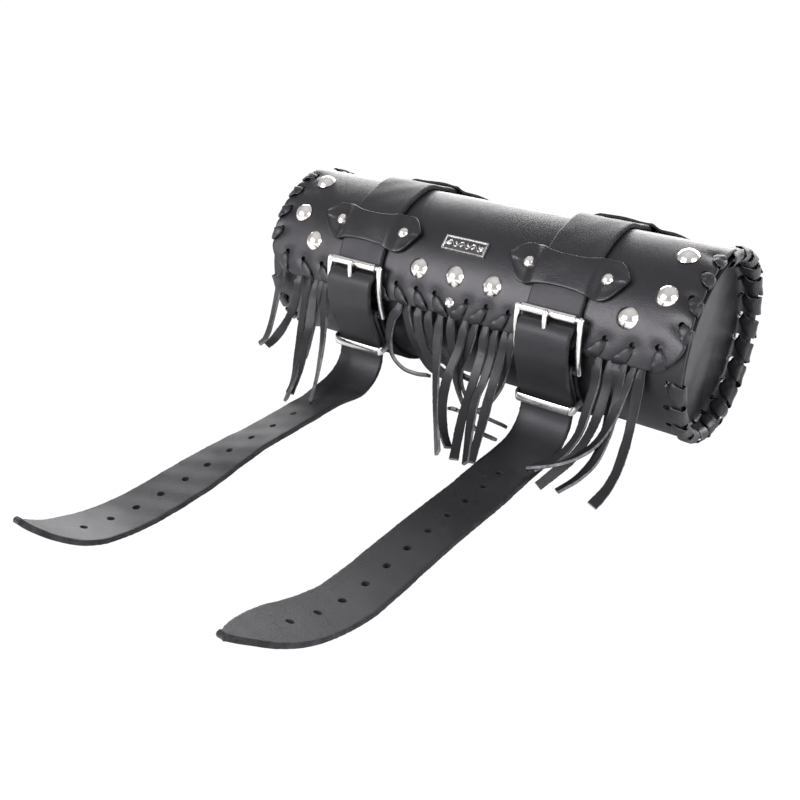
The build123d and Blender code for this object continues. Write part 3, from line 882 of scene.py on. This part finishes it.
# Tails along the floor to their raised tips: y, z
TAIL_RUN = {
    "left": [
        (-98, 1.95), (-120, 1.9), (-150, 1.9), (-180, 1.9), (-210, 1.9), (-240, 1.9),
        (-268, 1.9), (-290, 3.0), (-306, 6.2), (-320, 10.8), (-333, 17.4), (-344, 25.6),
        (-352.5, 34.4), (-357, 40.5)],
    "right": [
        (-98, 1.95), (-118, 1.9), (-145, 2.0), (-172, 2.4), (-198, 2.6), (-222, 2.4),
        (-242, 2.2), (-262, 3.0), (-281, 5.8), (-300, 11.2), (-318, 18.2), (-334, 26.2),
        (-348, 35.0), (-358, 42.0)]}
TAIL_HOLES = 11
TAIL_HOLE_PITCH = 19.3
TAIL_HOLE_START = {"left": 4.5, "right": 0.5}     # past y = -122
TIP_LEN = 54.0


def strap_mesh(name, path, thickness, seed, half_width=STRAP_W / 2, roll=0.0, rough=0.1):
    """Strap along a centre line (n, 3). Returns the object and the path's normals."""
    count = len(path)
    tangent = unit(np.gradient(path, axis=0))
    side = np.tile([1.0, 0, 0], (count, 1))
    turn = np.radians(np.broadcast_to(roll, count))[:, None]
    side = side * np.cos(turn) + unit(np.cross(side, tangent)) * np.sin(turn)
    normal = unit(np.cross(side, tangent))
    columns = strip_columns(STRAP_W / 2)
    along = arc_length(path)
    sway = waves(seed, 6, 0.02, 0.2)
    fray = waves(seed + 7, 8, 0.25, 0.6)
    across = (columns / (STRAP_W / 2))[None] * np.broadcast_to(half_width, count)[:, None]
    edge_distance = (STRAP_W / 2 - np.abs(columns))[None]
    end_distance = np.minimum(along, along[-1] - along)[:, None]
    share = edge_share(np.minimum(edge_distance, end_distance))
    half_t = share * np.broadcast_to(thickness, count)[:, None] / 2
    sign = np.sign(columns)[None]
    jag = rough * fray(along[:, None] / 1.7, sign * 9.0) * (edge_distance < 0.9)
    across = across + jag * sign
    height = 0.18 * sway(along[:, None] / 3.0, columns[None] / 3.0)
    middle = path[:, None] + side[:, None] * across[..., None] + normal[:, None] * height[..., None]
    offset = normal[:, None] * half_t[..., None]
    return sheet(name, middle + offset, middle - offset, [STRAP, EDGE]), normal


def paint_strap_sides(obj, centre_x):
    paint_edges(obj, lambda c: np.abs(c[:, 0] - centre_x) > STRAP_W / 2 - 0.35)


def build_belt(side, sign):
    """Folded over the buckle's heel bar, then down the front, under and up the back."""
    centre_x = STRAP_X[side]
    turn = math.radians(barrel_deg(*HEEL))
    out = np.array([-math.sin(turn), math.cos(turn)])
    up_front = np.array([math.cos(turn), math.sin(turn)])
    points = [barrel_yz(68.6, deg) for deg in (130, 124, 117, 110)] + [barrel_yz(69.2, 105)]
    # fold round the bar, from outside to inside
    for fold_deg in np.linspace(-20, 200, 11):
        fold = math.radians(fold_deg)
        points.append(HEEL + 3.5 * (out * math.cos(fold) + up_front * math.sin(fold)))
    points += [barrel_yz(63.95, deg) for deg in (104, 110)]
    points += [barrel_yz(63.9, deg) for deg in (120, 135, 150, 165, *np.linspace(175, 320, 14))]
    path = spline(points, 330)
    path[:, 1] = np.maximum(path[:, 1], 1.85)     # flattened where it rests on the floor
    folded_t = 2.5
    thickness = folded_t + (STRAP_T - folded_t) * ease(58, 75, arc_length(path))
    belt, _ = strap_mesh("belt_leather_" + side, np.c_[np.full(len(path), centre_x), path],
                         thickness, seed=31 + sign)
    # slot through the middle of the fold
    cut(belt, [((centre_x, *HEEL), (1, 0, 0), 7.3, 7.0)])
    paint_strap_sides(belt, centre_x)
    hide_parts("belt_" + side)
    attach(belt, "bag")


def build_strap_over(side, sign):
    """Over the top, from the back keeper to the front keeper."""
    centre_x = STRAP_X[side]
    points = np.array([barrel_yz(hide_radius(deg) + STRAP_GAP + STRAP_T / 2, deg)
                       for deg in np.linspace(BACK_KEEPER_DEG - 1, FRONT_KEEPER_DEG + 1, 80)])
    strap, _ = strap_mesh("strap_over_" + side, np.c_[np.full(len(points), centre_x), points],
                          STRAP_T, seed=41 + sign)
    paint_strap_sides(strap, centre_x)
    blend_to_lid(strap)


def tail_lie(side, y):
    """Roll in degrees and sideways drift of a tail at each y."""
    if side == "left":
        roll = (-(11.5 * ease(-84, -122, y) * (1 - ease(-172, -246, y)))
                + 2.0 * ease(-262, -345, y))
        drift = (4.5 * ease(-80, -120, y) * (1 - ease(-150, -235, y))
                 + 1.0 * ease(-200, -250, y) + 3.5 * ease(-290, -352, y))
    else:
        roll = (-2.0 * np.exp(-((y + 200) / 70.0) ** 2) * ease(-90, -115, y)
                + 5.0 * ease(-255, -335, y))
        drift = 1.5 * ease(-110, -160, y) + 1.5 * ease(-230, -300, y)
    return roll, drift


def build_front_strap(side, sign):
    """From the front keeper, through the buckle, down and out to the tail's tip."""
    centre_x = STRAP_X[side]
    points = [barrel_yz(FLAP_R + STRAP_GAP + STRAP_T / 2, deg)
              for deg in np.linspace(FRONT_KEEPER_DEG - 1, 63.5, 10)]
    points += [ROLLER - BEND_ROLLER + point for point in ROLLER_BEND]
    path = spline(np.array(points + TAIL_DROP + TAIL_RUN[side], float), 420)
    along = arc_length(path)
    to_tip = np.clip((along[-1] - along) / TIP_LEN, 0, 1)
    half_width = STRAP_W / 2 * np.clip(1 - (1 - to_tip) ** 1.75, 0, 1) ** 0.86
    half_width = np.maximum(half_width, 2.4)
    y = path[:, 0]
    roll, drift = tail_lie(side, y)
    # a rolled tail rests on its lower edge
    lift = np.abs(np.sin(np.radians(roll))) * half_width * 0.97 * ease(-78, -92, y)
    line = np.c_[centre_x + drift, y, path[:, 1] + lift]
    strap, normal = strap_mesh("strap_tail_" + side, line, STRAP_T, seed=51 + sign,
                               half_width=half_width, roll=roll, rough=0.12)
    holes = []
    for i in range(TAIL_HOLES):
        hole_y = -122.0 - TAIL_HOLE_PITCH * i - TAIL_HOLE_START[side]
        # only stations out on the floor count
        k = int(np.argmin(np.abs(y - hole_y) + 1e3 * (y > -90)))
        holes.append((line[k], normal[k], 2.35, 12))
    # one more hole just below the roller
    k = int(np.argmin(np.hypot(y - (ROLLER[0] - 2.9), path[:, 1] - (ROLLER[1] - 6.9))))
    holes.append((line[k], normal[k], 2.5, 9))
    cut(strap, holes)

    def is_edge(centres):
        nearest = np.argmin(np.abs(line[None, :, 1] - centres[:, None, 1])
                            + np.abs(line[None, :, 2] - centres[:, None, 2]), axis=1)
        found = np.abs(centres[:, 0] - line[nearest, 0]) > half_width[nearest] - 0.45
        for point, axis, radius, _ in holes:
            away = centres - point
            off_axis = away - (away @ axis)[:, None] * axis
            found |= np.linalg.norm(off_axis, axis=1) < radius + 0.05
        return found

    paint_edges(strap, is_edge)
    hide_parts("strap_%s_front" % side, "strap_%s_tail" % side)
    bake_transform(strap)


for side, sign in SIDES:
    build_belt(side, sign)
    build_strap_over(side, sign)
    build_front_strap(side, sign)

# ------------------------------------------------------------ leather keepers
KEEPER_HALF_W = 42.3
KEEPER_HALF_T = 1.2


def keeper_outline(half):
    """Full outline from its left half: x, arc toward the front."""
    half = np.array(half, float)
    return spline(np.vstack([half, half[-2::-1] * (-1, 1)]), 400)


KEEPER_UPPER = keeper_outline([
    (-KEEPER_HALF_W, -2.0), (-41.6, -3.6), (-38.8, -7.0), (-34.8, -11.2), (-30.6, -13.3),
    (-24.6, -12.9), (-17.0, -10.3), (-9.0, -8.7), (0, -8.2)])
KEEPER_LOWER = keeper_outline([
    (-KEEPER_HALF_W, -2.0), (-41.4, -0.2), (-39.0, 3.6), (-35.4, 8.8), (-31.2, 13.2),
    (-26.0, 15.0), (-21.0, 14.3), (-14.0, 12.9), (-7.0, 12.3), (0, 12.1)])


def build_keeper(place, side, centre_deg, hide_r, seed, carrier):
    """Dog-bone of leather riveted either side of the strap and bowed over it."""
    base = hide_r + 0.2
    columns = strip_columns(KEEPER_HALF_W, (0.0, 0.12, 0.35, 0.8, 1.6), 1.1)
    upper = np.interp(columns, KEEPER_UPPER[:, 0], KEEPER_UPPER[:, 1])
    lower = np.interp(columns, KEEPER_LOWER[:, 0], KEEPER_LOWER[:, 1])
    half = (lower - upper) / 2
    rows = strip_columns(1.0, (0.0, 0.02, 0.05, 0.1, 0.2), 0.09)
    v = rows[:, None]
    arc = ((lower + upper) / 2)[None] + v * half[None]
    x = np.tile(columns, (len(rows), 1))
    far = np.abs(x)
    distance = np.minimum((1 - np.abs(v)) * half[None],
                          (KEEPER_HALF_W - np.abs(columns))[None] * 0.8)
    half_t = KEEPER_HALF_T * edge_share(distance, 0.9)
    uneven = waves(seed, 6, 0.5, 2.0)
    over_strap = (STRAP_T + 0.35) * (1 - ease(18.0, 27.5, far))
    bow = 0.9 * np.cos(np.clip(x / 19, -1, 1) * np.pi / 2) ** 2 * (0.25 + 0.75 * np.abs(v) ** 2)
    curl = (1.5 * ease(28.5, 42, far) * (0.55 + 0.45 * (arc < 0))
            + 0.7 * ease(0.5, 1.0, np.abs(v)) * ease(19, 28, far))
    wave = 0.45 * np.sin(x / 7.0 + seed) * (1 - ease(14, 22, far)) * (0.4 + 0.6 * v)
    radius = (base + KEEPER_HALF_T + over_strap + bow + curl + np.maximum(wave, -0.3) * 0.6
              + 0.16 * uneven(x / 30, arc / 30))
    deg = centre_deg + np.degrees(arc / (base + KEEPER_HALF_T))
    keeper = sheet("keeper_%s_%s" % (place, side),
                   on_barrel(STRAP_X[side] + x, radius + half_t, deg),
                   on_barrel(STRAP_X[side] + x, radius - half_t, deg), [KEEPER, EDGE])
    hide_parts("%s_keeper_%s" % (place, side))
    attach(keeper, carrier)


for side, sign in SIDES:
    build_keeper("front", side, FRONT_KEEPER_DEG, FLAP_R, 61 + sign, "lid")
    build_keeper("back", side, BACK_KEEPER_DEG, BODY_R, 71 + sign, "bag")
blend_to_lid(flap)

# --------------------------------------------------------------------- fringe
# Each strip: x at the flap's edge, x y z down its length, twist in degrees
FRINGE_STRIPS = {
    "left": [
        (-152, [(-155.0, -68.3, 57.5), (-156.2, -73.0, 42.4), (-153.8, -82.3, 29.8),
                (-152.4, -89.8, 22.9), (-155.1, -94.0, 19.0)], 25),
        (-135.5, [(-136.2, -68.4, 57.0), (-138.3, -71.9, 44.7), (-140.9, -79.2, 33.5),
                  (-143.9, -88.1, 24.5), (-148.2, -93.3, 19.4)], -40),
        (-126, [(-127.9, -69.1, 52.7), (-125.3, -77.8, 35.3), (-118.2, -90.5, 22.3),
                (-108.1, -106.6, 10.3), (-98.8, -126.7, 2.6)], 20),
        (-118.5, [(-119.0, -69.7, 54.7), (-117.4, -77.0, 38.1), (-113.4, -88.7, 25.7),
                  (-107.3, -102.5, 12.9), (-102.0, -119.3, 3.3)], -25),
        (-110, [(-108.7, -69.7, 49.5), (-102.0, -80.1, 32.4), (-94.5, -93.2, 20.8),
                (-86.0, -107.5, 14.0), (-76.5, -124.0, 9.6)], 30),
        (-114, [(-116.0, -68.6, 53.4), (-119.8, -69.9, 38.0), (-125.4, -70.5, 21.1),
                (-128.6, -74.0, 7.0)], 12)],
    "centre": [
        (-41, [(-46.4, -67.4, 57.7), (-49.6, -67.9, 43.0), (-47.3, -67.4, 28.4),
               (-38.6, -67.1, 20.6), (-26.6, -67.4, 19.6), (-15.2, -67.6, 21.5)], -20),
        (-34.5, [(-32.3, -67.6, 58.1), (-28.0, -68.2, 47.2), (-21.2, -68.0, 36.6),
                 (-12.8, -67.4, 28.1), (-2.6, -66.4, 24.2)], 18),
        (-25, [(-22.2, -68.6, 54.7), (-16.9, -69.6, 42.5), (-8.3, -69.0, 31.3),
               (2.3, -67.6, 25.6)], -18),
        (-16, [(-14.3, -67.6, 56.7), (-8.4, -68.2, 46.0), (0.8, -67.4, 35.6),
               (11.5, -66.4, 29.4), (22.0, -66.0, 27.4)], 20),
        (-6.5, [(-5.8, -69.4, 54.8), (-1.2, -77.8, 36.6), (7.5, -90.6, 23.1),
                (19.1, -106.5, 11.1), (32.6, -124.2, 2.6)], 28),
        (2.6, [(4.4, -67.7, 52.6), (6.9, -67.9, 35.2), (9.8, -67.6, 18.1),
               (19.1, -71.4, 5.4), (36.5, -84.7, 2.8), (53.5, -88.8, 2.8)], -22),
        (14, [(11.8, -69.8, 50.8), (9.7, -77.4, 36.6), (12.0, -87.3, 26.1),
              (18.6, -98.9, 16.5), (27.2, -109.7, 9.1), (36.0, -117.2, 4.4)], -30),
        (22, [(17.3, -67.8, 48.7), (12.2, -68.0, 35.2), (12.9, -67.8, 22.5),
              (18.9, -67.6, 11.8), (31.1, -68.6, 4.6), (50.6, -70.4, 3.0)], 15),
        (30, [(29.8, -69.7, 51.2), (29.9, -78.7, 35.4), (31.6, -90.7, 23.0),
              (36.2, -104.3, 12.6), (45.6, -124.6, 2.6)], -18),
        (37.7, [(37.6, -69.7, 51.2), (37.0, -77.5, 36.9), (36.8, -86.2, 27.2),
                (41.4, -99.1, 16.4), (54.4, -124.2, 2.6)], 22),
        (45.3, [(45.0, -69.0, 54.4), (44.0, -75.9, 38.5), (46.2, -87.0, 26.1),
                (50.4, -101.3, 14.8), (57.4, -122.9, 3.6)], -14),
        (50.5, [(48.0, -67.8, 49.6), (43.6, -67.7, 29.4), (34.0, -68.4, 12.7),
                (20.7, -70.4, 4.8), (5.4, -71.4, 3.4)], 20)],
    "right": [
        (112.5, [(112.9, -69.4, 52.0), (112.4, -76.4, 37.8), (113.3, -85.4, 27.8),
                 (111.6, -93.4, 20.6), (106.7, -102.6, 13.6), (96.5, -111.6, 7.8)], 22),
        (121, [(120.8, -69.5, 51.6), (120.3, -76.5, 37.6), (119.5, -86.6, 26.4),
               (116.5, -98.2, 16.7), (110.9, -109.5, 9.3), (105.6, -121.4, 3.2)], -24),
        (129, [(129.0, -69.5, 51.3), (129.7, -76.5, 37.7), (130.5, -85.3, 27.9),
               (129.9, -97.4, 17.4), (125.4, -109.1, 9.5), (117.8, -120.1, 3.4)], 26),
        (135.5, [(132.0, -70.0, 50.9), (130.1, -78.6, 36.8), (127.1, -89.2, 25.9),
                 (119.5, -99.9, 18.0), (109.2, -108.3, 13.0), (94.3, -116.3, 9.0)], 55),
        (141, [(140.8, -69.2, 53.4), (142.2, -76.5, 37.6), (144.2, -86.0, 27.3),
               (145.7, -99.0, 16.2), (145.0, -110.2, 8.9), (142.3, -121.4, 3.2)], -20),
        (125, [(125.4, -67.9, 52.3), (124.0, -68.2, 37.9), (122.4, -67.8, 22.5),
               (119.6, -70.1, 9.4)], 14)],
}
EDGE_ON_STRIPS = {"centre": (0, 5, 7, 11)}     # turned edge-on to the camera
# Cross-section in half widths and half thicknesses; sides 0 and 7 are the cut edges
STRIP_SECTION = np.array([
    (-1, -0.8), (-1, 0.8), (-0.94, 0.97), (-0.45, 1.03), (0, 1.05), (0.45, 1.03), (0.94, 0.97),
    (1, 0.8), (1, -0.8), (0.94, -0.97), (0.4, -1), (-0.4, -1), (-0.94, -0.97)], float)


def turn_edge_on(centre, tangent, normal, u):
    """Ease the strip's width toward the line of sight as it leaves the flap."""
    sight = unit(CAMERA_AT - centre)
    width_dir = unit(sight - tangent * (sight * tangent).sum(-1, keepdims=True))
    agree = (width_dir * np.cross(tangent, normal)).sum(-1, keepdims=True)
    width_dir = width_dir * np.where(agree < 0, -1.0, 1.0)
    share = 0.85 * ease(0.25, 0.6, u)[:, None]
    return unit(normal * (1 - share) + np.cross(width_dir, tangent) * share)


def fringe_rings(group, i, edge_x, points, twist):
    rng = np.random.default_rng(100 + i + len(group))
    root = [(edge_x, -64.2, 71.2), (edge_x + 0.15 * (points[0][0] - edge_x), -66.9, 64.6)]
    centre = spline(root + points, 84)
    tangent = unit(np.gradient(centre, axis=0))
    u = np.linspace(0, 1, len(centre))
    # carry the side direction down the strip without twist
    side = np.zeros((len(centre), 3))
    carried = np.array([1.0, 0, 0])
    for k in range(len(centre)):
        carried = carried - tangent[k] * carried.dot(tangent[k])
        carried = carried / np.linalg.norm(carried)
        side[k] = carried
    turn = np.radians(twist * (0.25 + u ** 1.2) + 7 * np.sin(u * 5.0 + i))[:, None]
    normal = np.cross(side, tangent) * np.cos(turn) + side * np.sin(turn)
    if i in EDGE_ON_STRIPS.get(group, ()):
        normal = turn_edge_on(centre, tangent, normal, u)
    width = 5.9 + 0.4 * np.sin(u * 7 + i * 1.7) + 0.3 * np.sin(u * 17 + i)
    width = width * (0.72 + 0.28 * ease(0, 0.12, u))
    thickness = 1.1 + 1.1 * ease(0.02, 0.14, u)
    across = np.cross(tangent, normal)
    jag = 0.075 * rng.standard_normal((len(centre), 2))
    wide, thick = STRIP_SECTION.T
    shift = np.where(wide < -0.8, jag[:, :1], np.where(wide > 0.8, jag[:, 1:], 0))
    rings = (centre[:, None]
             + across[:, None] * (wide * width[:, None] / 2 + shift)[..., None]
             + normal[:, None] * thick[:, None] * thickness[:, None, None] / 2)
    rings[..., 2] = np.maximum(rings[..., 2], 0.06)     # stays above the floor
    return rings


def build_fringe(group, strips):
    tubes = Tubes()
    for i, (edge_x, points, twist) in enumerate(strips):
        tubes.add(fringe_rings(group, i, edge_x, points, twist), edge_sides=(0, 7))
    fringe = tubes.make("fringe_strips_" + group, [FRINGE, FRINGE_EDGE], 38)
    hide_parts("fringe_" + group)
    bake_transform(fringe)


for group, strips in FRINGE_STRIPS.items():
    build_fringe(group, strips)


# ------------------------------------------------------------------- hardware
def dress(name, mat, bevel=0.0):
    """Give a CAD piece its metal, smooth shading and, if asked, softened edges."""
    obj = frame["nodes"][name]
    obj.data.materials.clear()
    obj.data.materials.append(mat)
    if bevel:
        mod = obj.modifiers.new("soften", "BEVEL")
        mod.width = bevel * MM
        mod.segments = 3
        mod.limit_method = "ANGLE"
        mod.angle_limit = math.radians(40)
        mod.harden_normals = False
    smooth_shade(obj, 38)


# Section of the metal keeper's wire: outward, up
WIRE_SECTION = [
    (-0.55, -2.9), (0.0, -3.1), (0.42, -2.95), (0.68, -2.4), (0.86, -1.2), (0.92, 0.0),
    (0.86, 1.2), (0.68, 2.4), (0.42, 2.95), (0.0, 3.1), (-0.55, 2.9), (-0.62, 0.0)]
# Corners of the ring: x sign, 1 at the front or 0 at the back, end angle of the
# turn, radius along x, radius as a share of the ring's depth
RING_CORNERS = [(1, 1, 90, 3.2, 0.25), (-1, 1, 180, 3.2, 0.25),
                (-1, 0, 270, 1.2, 0.1), (1, 0, 0, 1.2, 0.1)]
RING_HALF_W = 21.4


def ring_stations():
    """Round the ring: x, depth share (0 back, 1 front), normal x, normal depth."""
    path = []
    for sign, at_front, end_deg, radius, share in RING_CORNERS:
        for step_deg in np.linspace(0, 90, 9):
            turn = math.radians(end_deg - 90 + step_deg)
            cos, sin = math.cos(turn), math.sin(turn)
            path.append((sign * (RING_HALF_W - radius) + radius * cos,
                         (1 - share if at_front else share) + share * sin, cos, sin))
    stations = []
    for i in range(len(path)):
        start, end = np.array(path[i]), np.array(path[(i + 1) % len(path)])
        # the straight runs are divided, the corner steps are not
        pieces = 14 if np.hypot(end[0] - start[0], (end[1] - start[1]) * 13) > 6 else 1
        stations += [start + (end - start) * t / pieces for t in range(pieces)]
    return stations


def build_metal_keeper(side):
    """Flat wire bent to a ring: crowned outside, with turned corners."""
    back = np.r_[STRAP_X[side], barrel_yz(66.45, 120.0)]
    front = np.array([STRAP_X[side], -70.0, 28.9])
    stations = ring_stations()
    verts, faces = [], []
    for x, depth, normal_x, normal_depth in stations:
        centre = back + (front - back) * depth + np.array([x, 0, 0])
        centre = centre + np.array([0, -0.35 * (1 - (x / 22.0) ** 2) * depth, 0])
        up = unit(np.array([0, -0.5, 0.866]) * (1 - depth) + np.array([0, 0, 1.0]) * depth)
        forward = unit(np.array([0, -0.866, -0.5]) * (1 - depth)
                       + np.array([0, -1.0, 0]) * depth)
        normal = unit(normal_x * np.array([1.0, 0, 0]) + normal_depth * forward)
        verts += [centre + normal * out + up * rise for out, rise in WIRE_SECTION]
    sides = len(WIRE_SECTION)
    for i in range(len(stations)):
        here, there = i * sides, (i + 1) % len(stations) * sides
        for j in range(sides):
            after = (j + 1) % sides
            faces.append((here + j, here + after, there + after, there + j))
    ring = make("keeper_ring_" + side, verts, faces, [BUCKLE_NICKEL], sharp=60)
    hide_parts("metal_keeper_" + side)
    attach(ring, "keeper_" + side)


PLATE_DEG = 43.5
PLATE_HALF_W, PLATE_HALF_H = 17.0, 5.5
PLATE_BASE_R = FLAP_R + 0.15
PLATE_ARC_R = FLAP_R + 1.0
FIELD_T = 1.05


def plate_ornament(x, arc):
    """Winding stem with a leaf at each bend, about 0..1."""
    period = 9.2
    stem = np.exp(-((arc - 1.9 * np.sin(x * 2 * np.pi / period)) / 0.42) ** 2)
    leaf = 0
    for k in range(-4, 5):
        leaf_x = 2.3 + 4.6 * k
        lean = 1 if k % 2 == 0 else -1
        leaf_arc = arc + 1.9 * math.sin(leaf_x * 2 * math.pi / period) * 0.35
        length = (x - leaf_x) * 0.8 + leaf_arc * 0.6 * lean
        breadth = -(x - leaf_x) * 0.6 * lean + leaf_arc * 0.8
        shape = np.clip(1.15 - (length / 1.5) ** 2 - (breadth / 0.75) ** 2, 0, 1) ** 0.6
        leaf = np.maximum(leaf, shape)
    return np.clip(np.maximum(stem, leaf), 0, 1)


def build_plate():
    """Plate on the flap's front: raised rim, dark field, raised ornament."""
    columns = np.r_[-PLATE_HALF_W, np.linspace(-16.9, 16.9, 258), PLATE_HALF_W]
    rows = np.r_[-PLATE_HALF_H, np.linspace(-5.4, 5.4, 94), PLATE_HALF_H]
    x, arc = np.meshgrid(columns, rows, indexing="ij")
    distance = np.minimum(PLATE_HALF_W - np.abs(x), PLATE_HALF_H - np.abs(arc))
    rim = ease(0.0, 0.35, distance) * (1 - ease(1.2, 1.55, distance))
    inside = ease(1.55, 1.9, distance)
    height = (FIELD_T + 0.62 * rim + 0.5 * inside * plate_ornament(x, arc)
              + 0.04 * ripple(x / 2.0, arc / 2.0))
    height = height * (0.45 + 0.55 * ease(0.0, 0.3, distance))
    deg = PLATE_DEG + np.degrees(arc / PLATE_ARC_R)
    plate = sheet("plate_relief", on_barrel(x, PLATE_BASE_R + height, deg),
                  on_barrel(x, PLATE_BASE_R, deg), [PLAQUE, PLAQUE, PLAQUE_FIELD], sharp=60)
    # low faces inside the rim take the dark field
    centres = face_centres(plate.data)
    y, z = centres[:, 1], centres[:, 2] - AXIS_Z
    radius = np.hypot(y, z)
    arc = (np.degrees(np.arctan2(-y, z)) - PLATE_DEG) * math.pi / 180 * PLATE_ARC_R
    distance = np.minimum(PLATE_HALF_W - np.abs(centres[:, 0]), PLATE_HALF_H - np.abs(arc))
    slots = np.zeros(len(centres), np.int32)
    slots[(distance > 1.2) & (radius < PLATE_BASE_R + FIELD_T + 0.16)
          & (radius > FLAP_R + 0.6)] = 2
    plate.data.polygons.foreach_set("material_index", slots)
    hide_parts("name_plate")
    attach(plate, "lid")


for name in ("dome_studs", "centre_rivet", "front_keeper_rivets", "back_keeper_rivets",
             "chape_rivets", "stud_washers", "plate_pins"):
    dress(name, STUD_NICKEL)
for side, _ in SIDES:
    dress("buckle_frame_" + side, BUCKLE_NICKEL)
    dress("roller_" + side, BUCKLE_NICKEL, bevel=0.35)
    dress("tongue_" + side, BUCKLE_NICKEL)
    build_metal_keeper(side)
build_plate()


# -------------------------------------------------------------- camera, light
def build_camera():
    azimuth, drop, roll = math.radians(37.89), math.radians(28.35), math.radians(1.41)
    data = bpy.data.cameras.new("cam")
    data.sensor_width = 36.0
    data.lens = 45.0405
    data.clip_end = 20
    camera = new_object("cam", data)
    camera.location = Vector(CAMERA_AT * MM)
    forward = Vector((-math.sin(azimuth) * math.cos(drop), math.cos(azimuth) * math.cos(drop),
                      -math.sin(drop)))
    camera.rotation_mode = "QUATERNION"
    camera.rotation_quaternion = (Quaternion(forward, roll)
                                  @ forward.to_track_quat("-Z", "Y"))
    bpy.context.scene.camera = camera


def build_floor():
    """White to the camera, a pale diffuse surface to everything else."""
    mat = bpy.data.materials.new("floor")
    shader = Shader(mat)
    output = shader.node("OutputMaterial")
    mix = shader.node("MixShader")
    glow = shader.node("Emission", Color=(1, 1, 1, 1), Strength=1.02)
    diffuse = shader.node("BsdfDiffuse", Color=(0.86, 0.86, 0.87, 1))
    rays = shader.node("LightPath")
    shader.link(rays.outputs["Is Camera Ray"], mix.inputs[0])
    shader.link(diffuse.outputs[0], mix.inputs[1])
    shader.link(glow.outputs[0], mix.inputs[2])
    shader.link(mix.outputs[0], output.inputs[0])
    reach, z = 6, -0.0002
    mesh = bpy.data.meshes.new("floor")
    mesh.from_pydata([(-reach, -reach, z), (reach, -reach, z), (reach, reach, z),
                      (-reach, reach, z)], [], [(0, 1, 2, 3)])
    mesh.materials.append(mat)
    new_object("floor", mesh)


def build_world():
    """White to the camera; a grey sky, banded by height, lights the bag."""
    world = bpy.data.worlds.new("world")
    bpy.context.scene.world = world
    shader = Shader(world)
    output = shader.node("OutputWorld")
    seen = shader.node("Background", Color=(1, 1, 1, 1), Strength=1.0)
    sky = shader.node("Background", Strength=0.8)
    coords = shader.node("TexCoord")
    split = shader.node("SeparateXYZ")
    shader.link(coords.outputs["Generated"], split.inputs[0])
    bands = shader.ramp(split.outputs["Z"], [
        (0.0, (0.8, 0.8, 0.82)), (0.3, (0.62, 0.62, 0.65)),
        (0.6, (0.66, 0.66, 0.69)), (1.0, (0.95, 0.95, 0.98))])
    shader.link(bands, sky.inputs["Color"])
    rays = shader.node("LightPath")
    mix = shader.node("MixShader")
    shader.link(rays.outputs["Is Camera Ray"], mix.inputs[0])
    shader.link(sky.outputs[0], mix.inputs[1])
    shader.link(seen.outputs[0], mix.inputs[2])
    shader.link(mix.outputs[0], output.inputs[0])


def area_light(name, at, target, width, height, power, color):
    data = bpy.data.lights.new(name, "AREA")
    data.energy = power
    data.color = color
    data.shape = "RECTANGLE"
    data.size = width
    data.size_y = height
    light = new_object(name, data)
    light.location = Vector(at)
    light.rotation_mode = "QUATERNION"
    light.rotation_quaternion = (Vector(target) - Vector(at)).to_track_quat("-Z", "Y")


build_camera()
build_floor()
build_world()
area_light("backdrop", at=(-0.35, 1.45, 0.62), target=(0, 0, 0.05), width=3.0, height=0.9,
           power=62, color=(1.0, 0.99, 0.985))
area_light("front_left", at=(-0.42, -1.12, 0.62), target=(0.05, 0, 0.06), width=0.85,
           height=0.6, power=17.5, color=(1, 0.99, 1.0))
area_light("right", at=(1.3, -0.35, 0.55), target=(0.1, 0, 0.05), width=0.9, height=0.7,
           power=11.5, color=(1, 1, 1))

view = bpy.context.scene.view_settings
view.view_transform = "Standard"
view.look = "None"
view.exposure = 0.0
view.gamma = 1.0

bpy.context.view_layer.update()
